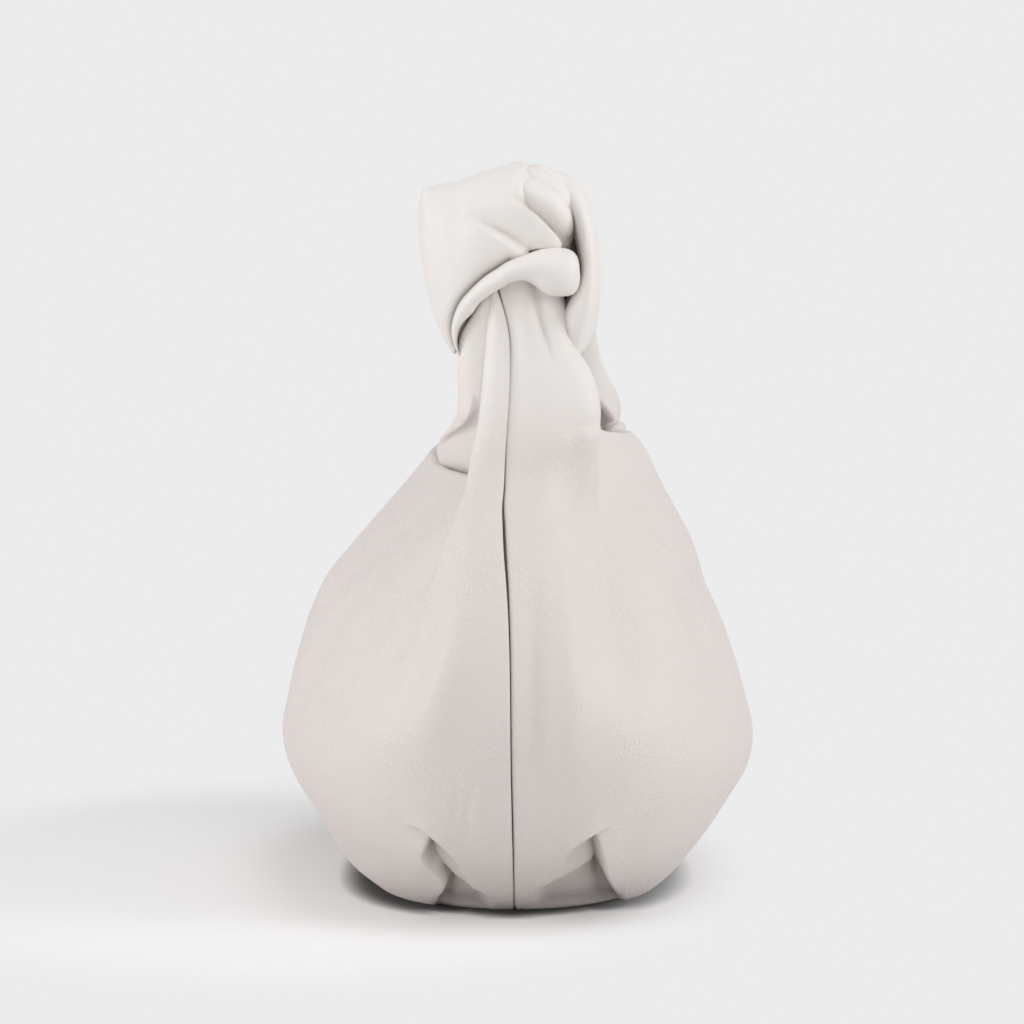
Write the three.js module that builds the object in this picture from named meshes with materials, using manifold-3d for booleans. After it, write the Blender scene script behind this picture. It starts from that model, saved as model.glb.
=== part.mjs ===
// Soft leather handbag with a knotted handle: two panels joined by one centre seam, tops gathered
// into two necks, and one strap between the necks that is tied in an overhand knot. Inside are
// leather facings, a cloth lining, a magnetic snap, a zip pocket and a slip pocket.
// Millimetres, +Z up. X runs across the bag's depth, Y along its length, the knot is at the -Y end,
// and the origin is the middle of the base on the ground.
import * as THREE from "three";
import { mergeVertices } from "three/addons/utils/BufferGeometryUtils.js";
import Module from "manifold-3d";

const wasm = await Module();
wasm.setup();

// Body of the bag, over the leather
const bagDepth = 195;
const bagLength = 340;
const bellyHeight = 65;
const longestHeight = 95;
const baseDepth = 114;
const baseLength = 210;
const frontRimReach = 36;
const backRimReach = 54;
const rimLength = 260;
const rimHeight = 177;
const baseSquareness = 3;
const rimSquareness = 2.4;

// Pleats folded into the base at both ends, one in each panel
const pleatOffset = 34;
const pleatDepth = 6;
const pleatWidth = 15;
const pleatHeight = 30;

// Leather, cloth and the clearance between pieces that touch
const clearance = 0.3;
const leather = 2.2;
const facingLeather = 1.8;
const facingDrop = 36;
const cloth = 1;
const liningSlack = 1.1;
const tapeWidth = 11;
const tapeThickness = 0.7;
const slipPocketWidth = 120;
const slipPocketTop = 128;
const slipPocketBottom = 68;

// Strap and its knot
const knotWidth = 75;
const knotDepth = 76;
const knotHeight = 84;
const knotTop = 300;
const knotInset = 44;
const knotShift = -1;
const strapWidth = 60;
const strapThickness = 14;
const archHeight = 284;
const archInset = 36;
const neckShift = 6;
const nearNeckWidth = 50;
const farNeckWidth = 50;
const farNeckFlare = 0.36;
const neckThickness = 26;
const neckInset = 3;
const nearNeckTop = 214;
const farNeckTop = 226;
const gatherDepth = 1.1;

// Magnetic snap
const snapDiameter = 18;
const snapDrop = 17;
const snapDisc = 2;
const studDiameter = 8;
const studHeight = 2.4;
const rivetDiameter = 5;
const washerThickness = 0.7;

// Zip pocket in the back lining
const zipLength = 112;
const zipHeight = 116;
const zipInset = 14;
const wallLean = 0.2;
const zipFrameBorder = 11;
const zipWindow = 10;
const zipFrameThickness = 1.4;
const zipTapeThickness = 0.8;
const chainGap = 1.8;
const toothPitch = 3;
const toothLength = 1.4;
const toothThickness = 1.5;
const sliderLength = 9;
const sliderWidth = 7.6;
const sliderPlate = 0.9;
const pullLength = 24;
const pullWidth = 6;
const pullThickness = 1;
const bailWire = 1;
const pocketDrop = 58;
const pocketRoom = 2.6;

// Materials
const paint = (color, roughness, metalness = 0) =>
  new THREE.MeshStandardMaterial({ color, roughness, metalness });
const whiteLeather = paint(0xe0dbd6, 0.52);
const strapLeather = paint(0xe3ded9, 0.5);
const facingWhite = paint(0xd9d3cc, 0.58);
const liningCloth = paint(0xcbbfae, 0.9);
const pocketCloth = paint(0xc2b6a6, 0.9);
const tapeCloth = paint(0xd2c8ba, 0.85);
const paleGold = paint(0xcdb98a, 0.28, 1);
const steel = paint(0xb9bbbd, 0.3, 1);

// Meshes and closed solids
const bag = new THREE.Group();

function addPiece(name, geometry, material, parent = bag) {
  const mesh = new THREE.Mesh(geometry, material);
  mesh.name = name;
  parent.add(mesh);
  return mesh;
}

function facesOut(positions, triangles) {
  let volume = 0;
  const a = new THREE.Vector3();
  const b = new THREE.Vector3();
  const c = new THREE.Vector3();
  for (let i = 0; i < triangles.length; i += 3) {
    a.fromArray(positions, 3 * triangles[i]);
    b.fromArray(positions, 3 * triangles[i + 1]);
    c.fromArray(positions, 3 * triangles[i + 2]);
    volume += a.dot(b.cross(c));
  }
  return volume > 0;
}

function closedGeometry(points, triangles) {
  const positions = points.flatMap((p) => [p.x, p.y, p.z]);
  const geometry = new THREE.BufferGeometry();
  if (!facesOut(positions, triangles)) triangles.reverse();
  geometry.setAttribute("position", new THREE.Float32BufferAttribute(positions, 3));
  geometry.setIndex(triangles);
  return geometry;
}

// A solid through rings of points, each ring with as many points, closed by a fan at each end.
function loftRings(rings) {
  const count = rings[0].length;
  const points = rings.flat();
  const triangles = [];
  for (let r = 0; r + 1 < rings.length; r += 1) {
    for (let i = 0; i < count; i += 1) {
      const j = (i + 1) % count;
      const low = r * count;
      const high = low + count;
      triangles.push(low + i, low + j, high + j, low + i, high + j, high + i);
    }
  }
  const last = (rings.length - 1) * count;
  for (let i = 1; i + 1 < count; i += 1) {
    triangles.push(0, i + 1, i, last, last + i, last + i + 1);
  }
  return closedGeometry(points, triangles);
}

// A shell between an outer and an inner grid of points, closed along its four edges.
function shellBetween(outer, inner) {
  const rows = outer.length;
  const columns = outer[0].length;
  const points = [...outer.flat(), ...inner.flat()];
  const step = rows * columns;
  const at = (layer, r, c) => layer * step + r * columns + c;
  const triangles = [];
  const quad = (a, b, c, d) => triangles.push(a, b, c, a, c, d);
  for (let r = 0; r + 1 < rows; r += 1) {
    for (let c = 0; c + 1 < columns; c += 1) {
      quad(at(0, r, c), at(0, r, c + 1), at(0, r + 1, c + 1), at(0, r + 1, c));
      quad(at(1, r, c), at(1, r + 1, c), at(1, r + 1, c + 1), at(1, r, c + 1));
    }
    quad(at(0, r, 0), at(0, r + 1, 0), at(1, r + 1, 0), at(1, r, 0));
    const e = columns - 1;
    quad(at(0, r, e), at(1, r, e), at(1, r + 1, e), at(0, r + 1, e));
  }
  for (let c = 0; c + 1 < columns; c += 1) {
    quad(at(0, 0, c), at(1, 0, c), at(1, 0, c + 1), at(0, 0, c + 1));
    const e = rows - 1;
    quad(at(0, e, c), at(0, e, c + 1), at(1, e, c + 1), at(1, e, c));
  }
  return closedGeometry(points, triangles);
}

function toManifold(geometry) {
  const bare = geometry.clone();
  bare.deleteAttribute("normal");
  bare.deleteAttribute("uv");
  const merged = mergeVertices(bare, 1e-4);
  const vertProperties = Float32Array.from(merged.attributes.position.array);
  const triVerts = Uint32Array.from(merged.index.array);
  return new wasm.Manifold(new wasm.Mesh({ numProp: 3, vertProperties, triVerts }));
}

function fromManifold(solid) {
  const mesh = solid.getMesh();
  const geometry = new THREE.BufferGeometry();
  geometry.setAttribute("position", new THREE.Float32BufferAttribute(mesh.vertProperties, 3));
  geometry.setIndex(Array.from(mesh.triVerts));
  return geometry;
}

const cutAway = (geometry, tools) =>
  fromManifold(tools.reduce((left, tool) => left.subtract(toManifold(tool)), toManifold(geometry)));
const joined = (...pieces) =>
  fromManifold(pieces.map(toManifold).reduce((all, piece) => all.add(piece)));

function slab(width, height, thickness, x = 0, y = 0, z = 0) {
  return new THREE.BoxGeometry(width, height, thickness).translate(x, y, z);
}

function disc(diameter, from, to, sides = 32) {
  const cylinder = new THREE.CylinderGeometry(diameter / 2, diameter / 2, to - from, sides);
  return cylinder.rotateX(Math.PI / 2).translate(0, 0, (from + to) / 2);
}

// Outer surface of the panels. A profile is two curves in height, one for a panel's reach from the
// centre plane and one for the half length, and each level between them is a superellipse that is
// squarer near the base. The front panel leans in from its belly, the back one keeps a shoulder.
function reachCurves(rimReach, belly, shoulder) {
  const baseReach = baseDepth / 2;
  const bellyReach = bagDepth / 2;
  const swell = bellyReach - baseReach;
  const rise = rimHeight - bellyHeight;
  return [
    new THREE.CubicBezierCurve(
      new THREE.Vector2(baseReach, 0),
      new THREE.Vector2(baseReach + 0.27 * swell, 0.12 * bellyHeight),
      new THREE.Vector2(baseReach + 0.84 * swell, 0.68 * bellyHeight),
      new THREE.Vector2(bellyReach, bellyHeight),
    ),
    new THREE.CubicBezierCurve(
      new THREE.Vector2(bellyReach, bellyHeight),
      new THREE.Vector2(belly.out * bellyReach, bellyHeight + belly.up * rise),
      new THREE.Vector2(shoulder.out * bellyReach, bellyHeight + shoulder.up * rise),
      new THREE.Vector2(rimReach, rimHeight),
    ),
  ];
}
const frontReaches = reachCurves(frontRimReach, { out: 1, up: 0.27 }, { out: 0.82, up: 0.61 });
const backReaches = reachCurves(backRimReach, { out: 0.98, up: 0.24 }, { out: 0.75, up: 0.76 });
const halfLengths = [
  new THREE.CubicBezierCurve(
    new THREE.Vector2(baseLength / 2, 0),
    new THREE.Vector2(0.8 * bagLength / 2, 0.1 * longestHeight),
    new THREE.Vector2(0.97 * bagLength / 2, 0.58 * longestHeight),
    new THREE.Vector2(bagLength / 2, longestHeight),
  ),
  new THREE.CubicBezierCurve(
    new THREE.Vector2(bagLength / 2, longestHeight),
    new THREE.Vector2(1.0 * bagLength / 2, longestHeight + 0.3 * (rimHeight - longestHeight)),
    new THREE.Vector2(0.9 * bagLength / 2, longestHeight + 0.67 * (rimHeight - longestHeight)),
    new THREE.Vector2(rimLength / 2, rimHeight),
  ),
];

function reachAt(curves, height) {
  const curve = height <= curves[0].v3.y ? curves[0] : curves[1];
  let low = 0;
  let high = 1;
  for (let i = 0; i < 40; i += 1) {
    const middle = (low + high) / 2;
    if (curve.getPoint(middle).y < height) low = middle;
    else high = middle;
  }
  return curve.getPoint((low + high) / 2).x;
}

// A level is -1 on the base's centre line, 0 at the base's edge and 1 at the rim. A turn is -1 at
// the near seam, 0 in the middle of the panel and 1 at the far seam.
const heightOf = (level) => Math.max(0, level) * rimHeight;
const levelOf = (height) => height / rimHeight;
const fade = (x) => Math.exp(-x * x);

function skinPoint(side, turn, level) {
  const height = heightOf(level);
  const under = 1 + Math.min(0, level);
  const halfDepth = reachAt(side > 0 ? backReaches : frontReaches, height) * under;
  const halfLength = reachAt(halfLengths, height) * (0.9 + 0.1 * under);
  const power = 2 / THREE.MathUtils.lerp(baseSquareness, rimSquareness, heightOf(level) / rimHeight);
  const angle = Math.sign(turn) * (Math.PI / 2) * (1 - (1 - Math.abs(turn)) ** 1.25);
  const x = halfDepth * Math.max(0, Math.cos(angle)) ** power;
  const y = Math.sign(angle) * halfLength * Math.abs(Math.sin(angle)) ** power;
  return new THREE.Vector3(x, y, height);
}

function pleatAt(point, level) {
  const along = Math.min(1, Math.max(0, (Math.abs(point.y) - 0.25 * baseLength) / (0.25 * baseLength)));
  const up = level < 0 ? 1 + level : Math.max(0, 1 - heightOf(level) / pleatHeight);
  return pleatDepth * along * up * fade((2 * (point.x - pleatOffset)) / pleatWidth);
}

function inwardNormal(side, turn, level) {
  const h = 0.01;
  const skinAt = (atTurn, atLevel) => skinPoint(side, atTurn, atLevel);
  const across = skinAt(Math.min(1, turn + h), level).sub(skinAt(Math.max(-1, turn - h), level));
  const up = skinAt(turn, Math.min(1, level + h)).sub(skinAt(turn, Math.max(-1, level - h)));
  const normal = across.cross(up).normalize();
  if (level < 0) return normal.set(0, 0, 1);
  return normal.x > 0 ? normal.negate() : normal;
}

// A point of a layer that lies inset from the skin of the panel on the given side (+1 back,
// -1 front). A square edge is cut level, so its inset is measured across. Layers stop short of the
// centre plane.
function layerPoint(side, turn, level, inset, square = false, folded = true) {
  const skin = skinPoint(side, turn, level);
  const normal = inwardNormal(side, turn, level);
  if (square) normal.setZ(0).divideScalar(normal.lengthSq());
  const point = skin.clone().addScaledVector(normal, inset);
  if (folded) {
    const lift = new THREE.Vector3(0, -Math.sign(skin.y), 1.2).normalize();
    point.addScaledVector(lift, pleatAt(skin, level));
  }
  if (level <= 0) point.z = Math.max(point.z, inset);
  point.x = Math.abs(turn) >= 1 || level <= -1 ? clearance / 2 : Math.max(point.x, clearance / 2);
  point.x *= side;
  return point;
}

const span = (from, to, steps) =>
  Array.from({ length: steps + 1 }, (_, i) => THREE.MathUtils.lerp(from, to, i / steps));
const facingFoot = rimHeight - facingDrop;
const facingLevel = levelOf(facingFoot);
const bellyLevel = levelOf(bellyHeight);
const panelTurns = span(-1, 1, 36);
const panelLevels = [
  ...span(-1, 0, 3),
  ...span(0, bellyLevel, 6).slice(1),
  ...span(bellyLevel, facingLevel, 5).slice(1),
  ...span(facingLevel, 1, 3).slice(1),
];
const facingLevels = panelLevels.filter((level) => level >= facingLevel);

function layer(side, turns, levels, outerInset, innerInset, shape = layerPoint) {
  const square = (level) => level > 0 && (level === levels[0] || level === levels.at(-1));
  const row = (level, inset) => turns.map((turn) => shape(side, turn, level, inset, square(level)));
  const grid = (inset) => levels.map((level) => row(level, inset));
  return shellBetween(grid(outerInset), grid(innerInset));
}

addPiece("front_panel", layer(-1, panelTurns, panelLevels, 0, leather), whiteLeather);
addPiece("back_panel", layer(1, panelTurns, panelLevels, 0, leather), whiteLeather);

// Tape that backs the centre seam inside the bag, from end to end under the base
const tapeInset = leather + clearance;
function seamTape() {
  const stations = [
    ...panelLevels.filter((level) => level < facingLevel - 0.02).map((level) => [-1, level]).reverse(),
    ...panelLevels.filter((level) => level < facingLevel - 0.02).map((level) => [1, level]),
  ].filter(([turn, level]) => level > -1 || turn < 0);
  const rings = stations.map(([turn, level]) => {
    const outer = layerPoint(1, turn, level, tapeInset);
    const inner = layerPoint(1, turn, level, tapeInset + tapeThickness);
    if (level === -1) outer.y = 0;
    if (level === -1) inner.y = 0;
    return [
      new THREE.Vector3(-tapeWidth / 2, outer.y, outer.z),
      new THREE.Vector3(tapeWidth / 2, outer.y, outer.z),
      new THREE.Vector3(tapeWidth / 2, inner.y, inner.z),
      new THREE.Vector3(-tapeWidth / 2, inner.y, inner.z),
    ];
  });
  return loftRings(rings);
}
addPiece("seam_tape", seamTape(), tapeCloth);

// Magnetic snap. Each half has a frame of its own on the facing: its z axis points into the bag.
const facingInset = leather + clearance;
const facingFace = facingInset + facingLeather;
function snapSeat(side) {
  const level = levelOf(rimHeight - snapDrop);
  const at = layerPoint(side, 0, level, facingFace);
  const up = layerPoint(side, 0, level + 0.05, facingFace).sub(layerPoint(side, 0, level - 0.05, facingFace));
  const yAxis = up.normalize();
  const xAxis = new THREE.Vector3(0, side > 0 ? -1 : 1, 0);
  const zAxis = new THREE.Vector3().crossVectors(xAxis, yAxis);
  const seat = new THREE.Group();
  seat.position.copy(at);
  seat.quaternion.setFromRotationMatrix(new THREE.Matrix4().makeBasis(xAxis, yAxis, zAxis));
  seat.updateMatrix();
  bag.add(seat);
  return seat;
}
const frontSeat = snapSeat(-1);
const backSeat = snapSeat(1);

// Facings: leather bands inside the rim, bored for the snap's rivet and hollowed for its washer
const washerSeat = washerThickness + clearance;
function facing(side, seat) {
  const band = layer(side, panelTurns, facingLevels, facingInset, facingFace);
  const bore = disc(rivetDiameter + 2 * clearance, -2 * facingLeather, 2 * facingLeather);
  const hollow = disc(snapDiameter + 2 * clearance, -2 * facingLeather, washerSeat - facingLeather);
  return cutAway(band, [bore.applyMatrix4(seat.matrix), hollow.applyMatrix4(seat.matrix)]);
}
addPiece("front_facing", facing(-1, frontSeat), facingWhite);
addPiece("back_facing", facing(1, backSeat), facingWhite);

const snapBase = 2 * clearance;
const rivetEnd = -facingLeather;
function snapStud() {
  const base = disc(snapDiameter, snapBase, snapBase + snapDisc);
  const stud = disc(studDiameter, snapBase + snapDisc / 2, snapBase + snapDisc + studHeight, 24);
  const rivet = disc(rivetDiameter, rivetEnd, snapBase + snapDisc / 2, 16);
  return joined(base, stud, rivet);
}
function snapSocket() {
  const base = disc(snapDiameter, snapBase, snapBase + snapDisc + studHeight);
  const rivet = disc(rivetDiameter, rivetEnd, snapBase + snapDisc / 2, 16);
  const socket = disc(studDiameter + 2 * clearance, snapBase + snapDisc, snapBase + 3 * snapDisc, 24);
  return cutAway(joined(base, rivet), [socket]);
}
function snapWasher() {
  const plate = disc(snapDiameter, -facingLeather, washerThickness - facingLeather);
  const bore = disc(rivetDiameter + 2 * clearance, -2 * facingLeather, facingLeather, 16);
  return cutAway(plate, [bore]);
}
addPiece("snap_stud", snapStud(), paleGold, frontSeat);
addPiece("snap_stud_washer", snapWasher(), steel, frontSeat);
addPiece("snap_socket", snapSocket(), paleGold, backSeat);
addPiece("snap_socket_washer", snapWasher(), steel, backSeat);

// Linings hang from the lower edge of each facing and stand clear of the pleats. The back one is
// flat where the zip pocket is, on a plane that leans in with the wall.
const liningInset = leather + clearance + liningSlack;
const zipPlane = reachAt(backReaches, zipHeight) - zipInset;
const lean = Math.atan(wallLean);
const planeAt = (height) => zipPlane - wallLean * (height - zipHeight);
const liningLevels = [
  -1,
  -0.5,
  0,
  ...span(0, bellyLevel, 3).slice(1),
  ...span(bellyLevel, levelOf(facingFoot - clearance), 4).slice(1),
];

function liningPoint(side, turn, level, inset, square) {
  const low = Math.max(0, 1 - heightOf(level) / (1.6 * pleatHeight));
  const end = Math.min(1, Math.abs(skinPoint(side, turn, level).y) / (0.4 * baseLength));
  const point = layerPoint(side, turn, level, inset + low * end ** 2 * pleatDepth, square, false);
  const flat = planeAt(point.z) - (inset - liningInset) / Math.cos(lean);
  if (side > 0) point.x = Math.min(point.x, Math.max(flat, clearance / 2));
  return point;
}
const liningTurns = span(-1, 1, 24);
const liningFace = liningInset + cloth;
addPiece(
  "front_lining",
  layer(-1, liningTurns, liningLevels, liningInset, liningFace, liningPoint),
  liningCloth,
);

// Zip frame of reference: x along the zip, y up the wall, z into the bag, on the lining's face
const zipSeat = new THREE.Group();
zipSeat.position.set(planeAt(zipHeight) - cloth / Math.cos(lean), 0, zipHeight);
zipSeat.quaternion.setFromRotationMatrix(
  new THREE.Matrix4().makeBasis(
    new THREE.Vector3(0, -1, 0),
    new THREE.Vector3(-Math.sin(lean), 0, Math.cos(lean)),
    new THREE.Vector3(-Math.cos(lean), 0, -Math.sin(lean)),
  ),
);
zipSeat.updateMatrix();
bag.add(zipSeat);

const frameLength = zipLength + 2 * zipFrameBorder;
const frameHeight = zipWindow + 2 * zipFrameBorder;
const slotLength = zipLength + zipFrameBorder;
const slotHeight = zipWindow + zipFrameBorder;
const backLining = layer(1, liningTurns, liningLevels, liningInset, liningFace, liningPoint);
const slotDepth = 8 * cloth;
const slot = slab(slotLength, slotHeight, slotDepth).applyMatrix4(zipSeat.matrix);
addPiece("back_lining", cutAway(backLining, [slot]), liningCloth);

const frameFloor = clearance;
const frameFace = frameFloor + zipFrameThickness;
const frameSlab = slab(frameLength, frameHeight, zipFrameThickness, 0, 0, frameFloor + zipFrameThickness / 2);
const frameWindow = slab(zipLength, zipWindow, 6 * zipFrameThickness);
addPiece("zip_frame", cutAway(frameSlab, [frameWindow]), facingWhite, zipSeat);

// Two tapes in the lining's slot, each with a row of teeth beside its edge
const tapeZ = -clearance / 3 - zipTapeThickness / 2;
const rowInner = chainGap / 2;
const rowOuter = rowInner + toothLength + 1;
const tapeLow = rowOuter + clearance;
const tapeHigh = slotHeight / 2 - clearance;
const tapeHeight = tapeHigh - tapeLow;
const chainLength = zipLength - 4;
function zipTape(up) {
  const middle = (up * (tapeLow + tapeHigh)) / 2;
  return slab(slotLength - 2 * clearance, tapeHeight, zipTapeThickness, 0, middle, tapeZ);
}
function toothRow(up) {
  const count = Math.floor(chainLength / toothPitch);
  const start = (-count * toothPitch) / 2;
  const shape = new THREE.Shape();
  shape.moveTo(start, up * rowOuter);
  for (let i = 0; i < count; i += 1) {
    const left = start + i * toothPitch + (up > 0 ? 0 : toothPitch / 2);
    const root = up * (rowInner + toothLength);
    shape.lineTo(Math.max(left, start + 0.1), root);
    shape.lineTo(left + 0.16 * toothPitch, up * rowInner);
    shape.lineTo(left + 0.4 * toothPitch, up * rowInner);
    shape.lineTo(left + 0.5 * toothPitch, root);
  }
  shape.lineTo(-start + toothPitch / 2, up * rowOuter);
  const row = new THREE.ExtrudeGeometry(shape, { depth: toothThickness, bevelEnabled: false });
  return row.translate(0, 0, tapeZ - toothThickness / 2);
}
addPiece("zip_tape_upper", zipTape(1), tapeCloth, zipSeat);
addPiece("zip_tape_lower", zipTape(-1), tapeCloth, zipSeat);
addPiece("zip_teeth_upper", toothRow(1), paleGold, zipSeat);
addPiece("zip_teeth_lower", toothRow(-1), paleGold, zipSeat);

// Slider: two plates around the rows, a post between them and a bail for the pull
const rowTop = tapeZ + toothThickness / 2;
const rowBottom = tapeZ - toothThickness / 2;
const topPlate = rowTop + clearance;
const topFace = topPlate + sliderPlate;
const bottomPlate = rowBottom - clearance;
const bottomFace = bottomPlate - sliderPlate;
const stopReach = 2.4;
const chainEnd = chainLength / 2 + toothPitch / 2;
const sliderRest = chainLength / 2 - sliderLength / 2 - toothPitch;
const bailTunnel = bailWire + 2 * clearance;
const bailLength = bailTunnel + 2 * bailWire;
const bailFace = topFace + bailTunnel + bailWire;
const bailWidth = 2.6;
function zipSlider() {
  const top = slab(sliderLength, sliderWidth, sliderPlate, 0, 0, topPlate + sliderPlate / 2);
  const bottom = slab(sliderLength, sliderWidth, sliderPlate, 0, 0, bottomPlate - sliderPlate / 2);
  const postWidth = chainGap - 2 * clearance;
  const post = slab(sliderLength / 3, postWidth, topFace - bottomFace, sliderLength / 4, 0, (topFace + bottomFace) / 2);
  const bail = slab(bailLength, bailWidth, bailFace - topPlate, 0, 0, (topPlate + bailFace) / 2);
  const tunnel = slab(bailTunnel, 2 * bailWidth, bailTunnel, 0, 0, topFace + bailTunnel / 2);
  return cutAway(joined(top, bottom, post, bail), [tunnel]);
}

// Pull: an eye bar through the bail, two arms and a tag that lies back along the zip
const eyeZ = topFace + bailTunnel / 2;
function zipPull() {
  const eyeHalf = bailWidth / 2 + clearance + bailWire / 2;
  const bar = slab(bailWire, 2 * eyeHalf + bailWire, bailWire);
  const armLength = Math.hypot(bailLength / 2, bailFace - eyeZ) + 2 * clearance + bailWire;
  const arm = (up) => slab(armLength, bailWire, bailWire, -armLength / 2, up * eyeHalf, 0);
  const tagX = -armLength - pullLength / 2 + bailWire;
  const tag = slab(pullLength, pullWidth, pullThickness, tagX, 0, clearance);
  return joined(bar, arm(1), arm(-1), tag);
}
const slider = new THREE.Group();
slider.position.set(sliderRest, 0, 0);
zipSeat.add(slider);
addPiece("zip_slider", zipSlider(), paleGold, slider);
addPiece("zip_pull", zipPull().translate(0, 0, eyeZ), paleGold, slider);

function zipStop(end) {
  const x = end * (chainEnd + clearance + stopReach / 2 + toothPitch / 4);
  return slab(stopReach, 2 * rowOuter, toothThickness, x, 0, tapeZ);
}
addPiece("zip_end_stop", zipStop(1), paleGold, zipSeat);
addPiece("zip_start_stop", zipStop(-1), paleGold, zipSeat);

// Pocket bag: a shallow tray of cloth behind the lining, open towards the zip
function pocketBag() {
  const back = -cloth - clearance;
  const width = slotLength + 2 * cloth + pocketRoom;
  const top = slotHeight / 2 + cloth;
  const middle = (top - pocketDrop) / 2;
  const height = top + pocketDrop;
  const depth = pocketRoom + cloth;
  const outside = slab(width, height, depth, 0, middle, back - depth / 2);
  const inside = slab(width - 2 * cloth, height - 2 * cloth, 2 * pocketRoom, 0, middle, back);
  return cutAway(outside, [inside]);
}
addPiece("pocket_bag", pocketBag(), pocketCloth, zipSeat);

// Slip pocket: a patch of cloth on the front lining, open at its top
const slipTurn = (2 / Math.PI) * Math.asin(slipPocketWidth / bagLength) * 0.72;
const slipTurns = span(-slipTurn, slipTurn, 8);
const slipLevels = span(levelOf(slipPocketBottom), levelOf(slipPocketTop), 4);
const slipInset = liningFace + 3 * clearance;
addPiece(
  "slip_pocket",
  layer(-1, slipTurns, slipLevels, slipInset, slipInset + cloth),
  pocketCloth,
);

// Strap. Stations run from the near neck up through the knot, down its right side, behind the
// neck, round the left, across the front, under the right side again and over to the far neck.
// In the knot a station's place is a share of its half width, depth and height.
const knotSetback = rimLength / 2 - knotInset;
const archReach = rimLength / 2 - archInset;
const knotCentre = new THREE.Vector3(knotShift, -knotSetback, knotTop - knotHeight / 2);
const inKnot = (x, y, z) =>
  new THREE.Vector3(x * knotWidth / 2, y * knotDepth / 2, z * knotHeight / 2).add(knotCentre);
const inArch = (x, y, z) => new THREE.Vector3(x, y, z);
const archTop = archHeight - strapThickness / 2;
const archRise = archTop - farNeckTop;
const station = (at, width, thickness, across) => ({
  at,
  width: width * strapWidth,
  thickness: thickness * strapThickness,
  across: new THREE.Vector3(...across).normalize(),
});
const strapStations = [
  station(new THREE.Vector3(neckShift, -knotSetback - 0.34 * knotDepth, nearNeckTop), 0.44, 1.3, [1, 0, 0]),
  station(inKnot(0.14, -0.42, -0.6), 0.38, 1.05, [1, 0, 0]),
  station(inKnot(0.06, -0.16, -0.12), 0.32, 0.95, [1, 0.1, 0]),
  station(inKnot(0.02, 0.04, 0.34), 0.32, 0.85, [0.8, 0.6, 0]),
  station(inKnot(0.22, 0.14, 0.84), 0.4, 0.74, [0.2, 1, 0]),
  station(inKnot(0.6, 0.08, 0.8), 0.44, 0.72, [0, 1, 0]),
  station(inKnot(0.88, 0.0, 0.36), 0.48, 0.78, [0, 1, 0.1]),
  station(inKnot(0.88, 0.02, -0.2), 0.48, 0.78, [0, 1, 0.2]),
  station(inKnot(0.68, 0.28, -0.66), 0.42, 0.75, [-0.4, 0.7, 0.6]),
  station(inKnot(0.3, 0.6, -0.8), 0.36, 0.75, [0.1, 0.4, 0.9]),
  station(inKnot(-0.2, 0.68, -0.76), 0.38, 0.75, [0, 0.3, 1]),
  station(inKnot(-0.68, 0.46, -0.5), 0.5, 0.75, [0.1, 0.3, 1]),
  station(inKnot(-0.88, -0.02, -0.1), 0.9, 0.75, [0, 0.3, 1]),
  station(inKnot(-0.7, -0.56, 0.14), 1, 0.75, [0, 0, 1]),
  station(inKnot(-0.24, -0.86, 0.26), 0.9, 0.78, [0, 0, 1]),
  station(inKnot(0.22, -0.8, 0.24), 0.68, 0.8, [0, 0, 1]),
  station(inKnot(0.5, -0.46, 0.16), 0.42, 0.8, [0, 0, 1]),
  station(inKnot(0.52, 0.06, 0.02), 0.38, 0.75, [0, 0, 1]),
  station(inKnot(0.4, 0.56, 0.02), 0.42, 0.75, [0.1, 0, 1]),
  station(inArch(neckShift, -0.42 * archReach, archTop - 0.24 * archRise), 0.56, 0.8, [0.7, 0, 0.7]),
  station(inArch(neckShift / 2, -0.12 * archReach, archTop - 0.06 * archRise), 0.66, 0.9, [1, 0, 0.1]),
  station(inArch(neckShift / 2, 0.22 * archReach, archTop - 0.02 * archRise), 0.74, 1, [1, 0, 0]),
  station(inArch(neckShift, 0.6 * archReach, archTop - 0.24 * archRise), 0.84, 1, [1, 0, 0]),
  station(inArch(neckShift, 0.88 * archReach, archTop - 0.6 * archRise), 0.92, 1.1, [1, 0, 0]),
  station(inArch(neckShift, archReach, farNeckTop), 1, 1.3, [1, 0, 0]),
];

const strapPath = new THREE.CatmullRomCurve3(strapStations.map((s) => s.at), false, "centripetal");
const sectionSides = 12;
function sectionRing(centre, across, through, width, thickness) {
  return Array.from({ length: sectionSides }, (_, i) => {
    const angle = (2 * Math.PI * i) / sectionSides;
    const c = Math.sign(Math.cos(angle)) * Math.abs(Math.cos(angle)) ** 0.8;
    const s = Math.sign(Math.sin(angle)) * Math.abs(Math.sin(angle)) ** 0.8;
    return centre
      .clone()
      .addScaledVector(across, (c * width) / 2)
      .addScaledVector(through, (s * thickness) / 2);
  });
}

function strapRing(share) {
  const place = Math.min(share * (strapStations.length - 1), strapStations.length - 1.001);
  const before = strapStations[Math.floor(place)];
  const after = strapStations[Math.floor(place) + 1];
  const t = place - Math.floor(place);
  const tangent = strapPath.getTangent(share);
  const across = before.across.clone().lerp(after.across, t);
  across.addScaledVector(tangent, -across.dot(tangent)).normalize();
  const through = new THREE.Vector3().crossVectors(tangent, across);
  const width = THREE.MathUtils.lerp(before.width, after.width, t);
  const thickness = THREE.MathUtils.lerp(before.thickness, after.thickness, t);
  return sectionRing(strapPath.getPoint(share), across, through, width, thickness);
}
const strapSteps = 92;
const strapRings = span(0, 1, strapSteps).map(strapRing);
addPiece("knotted_handle", loftRings(strapRings), strapLeather);

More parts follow.
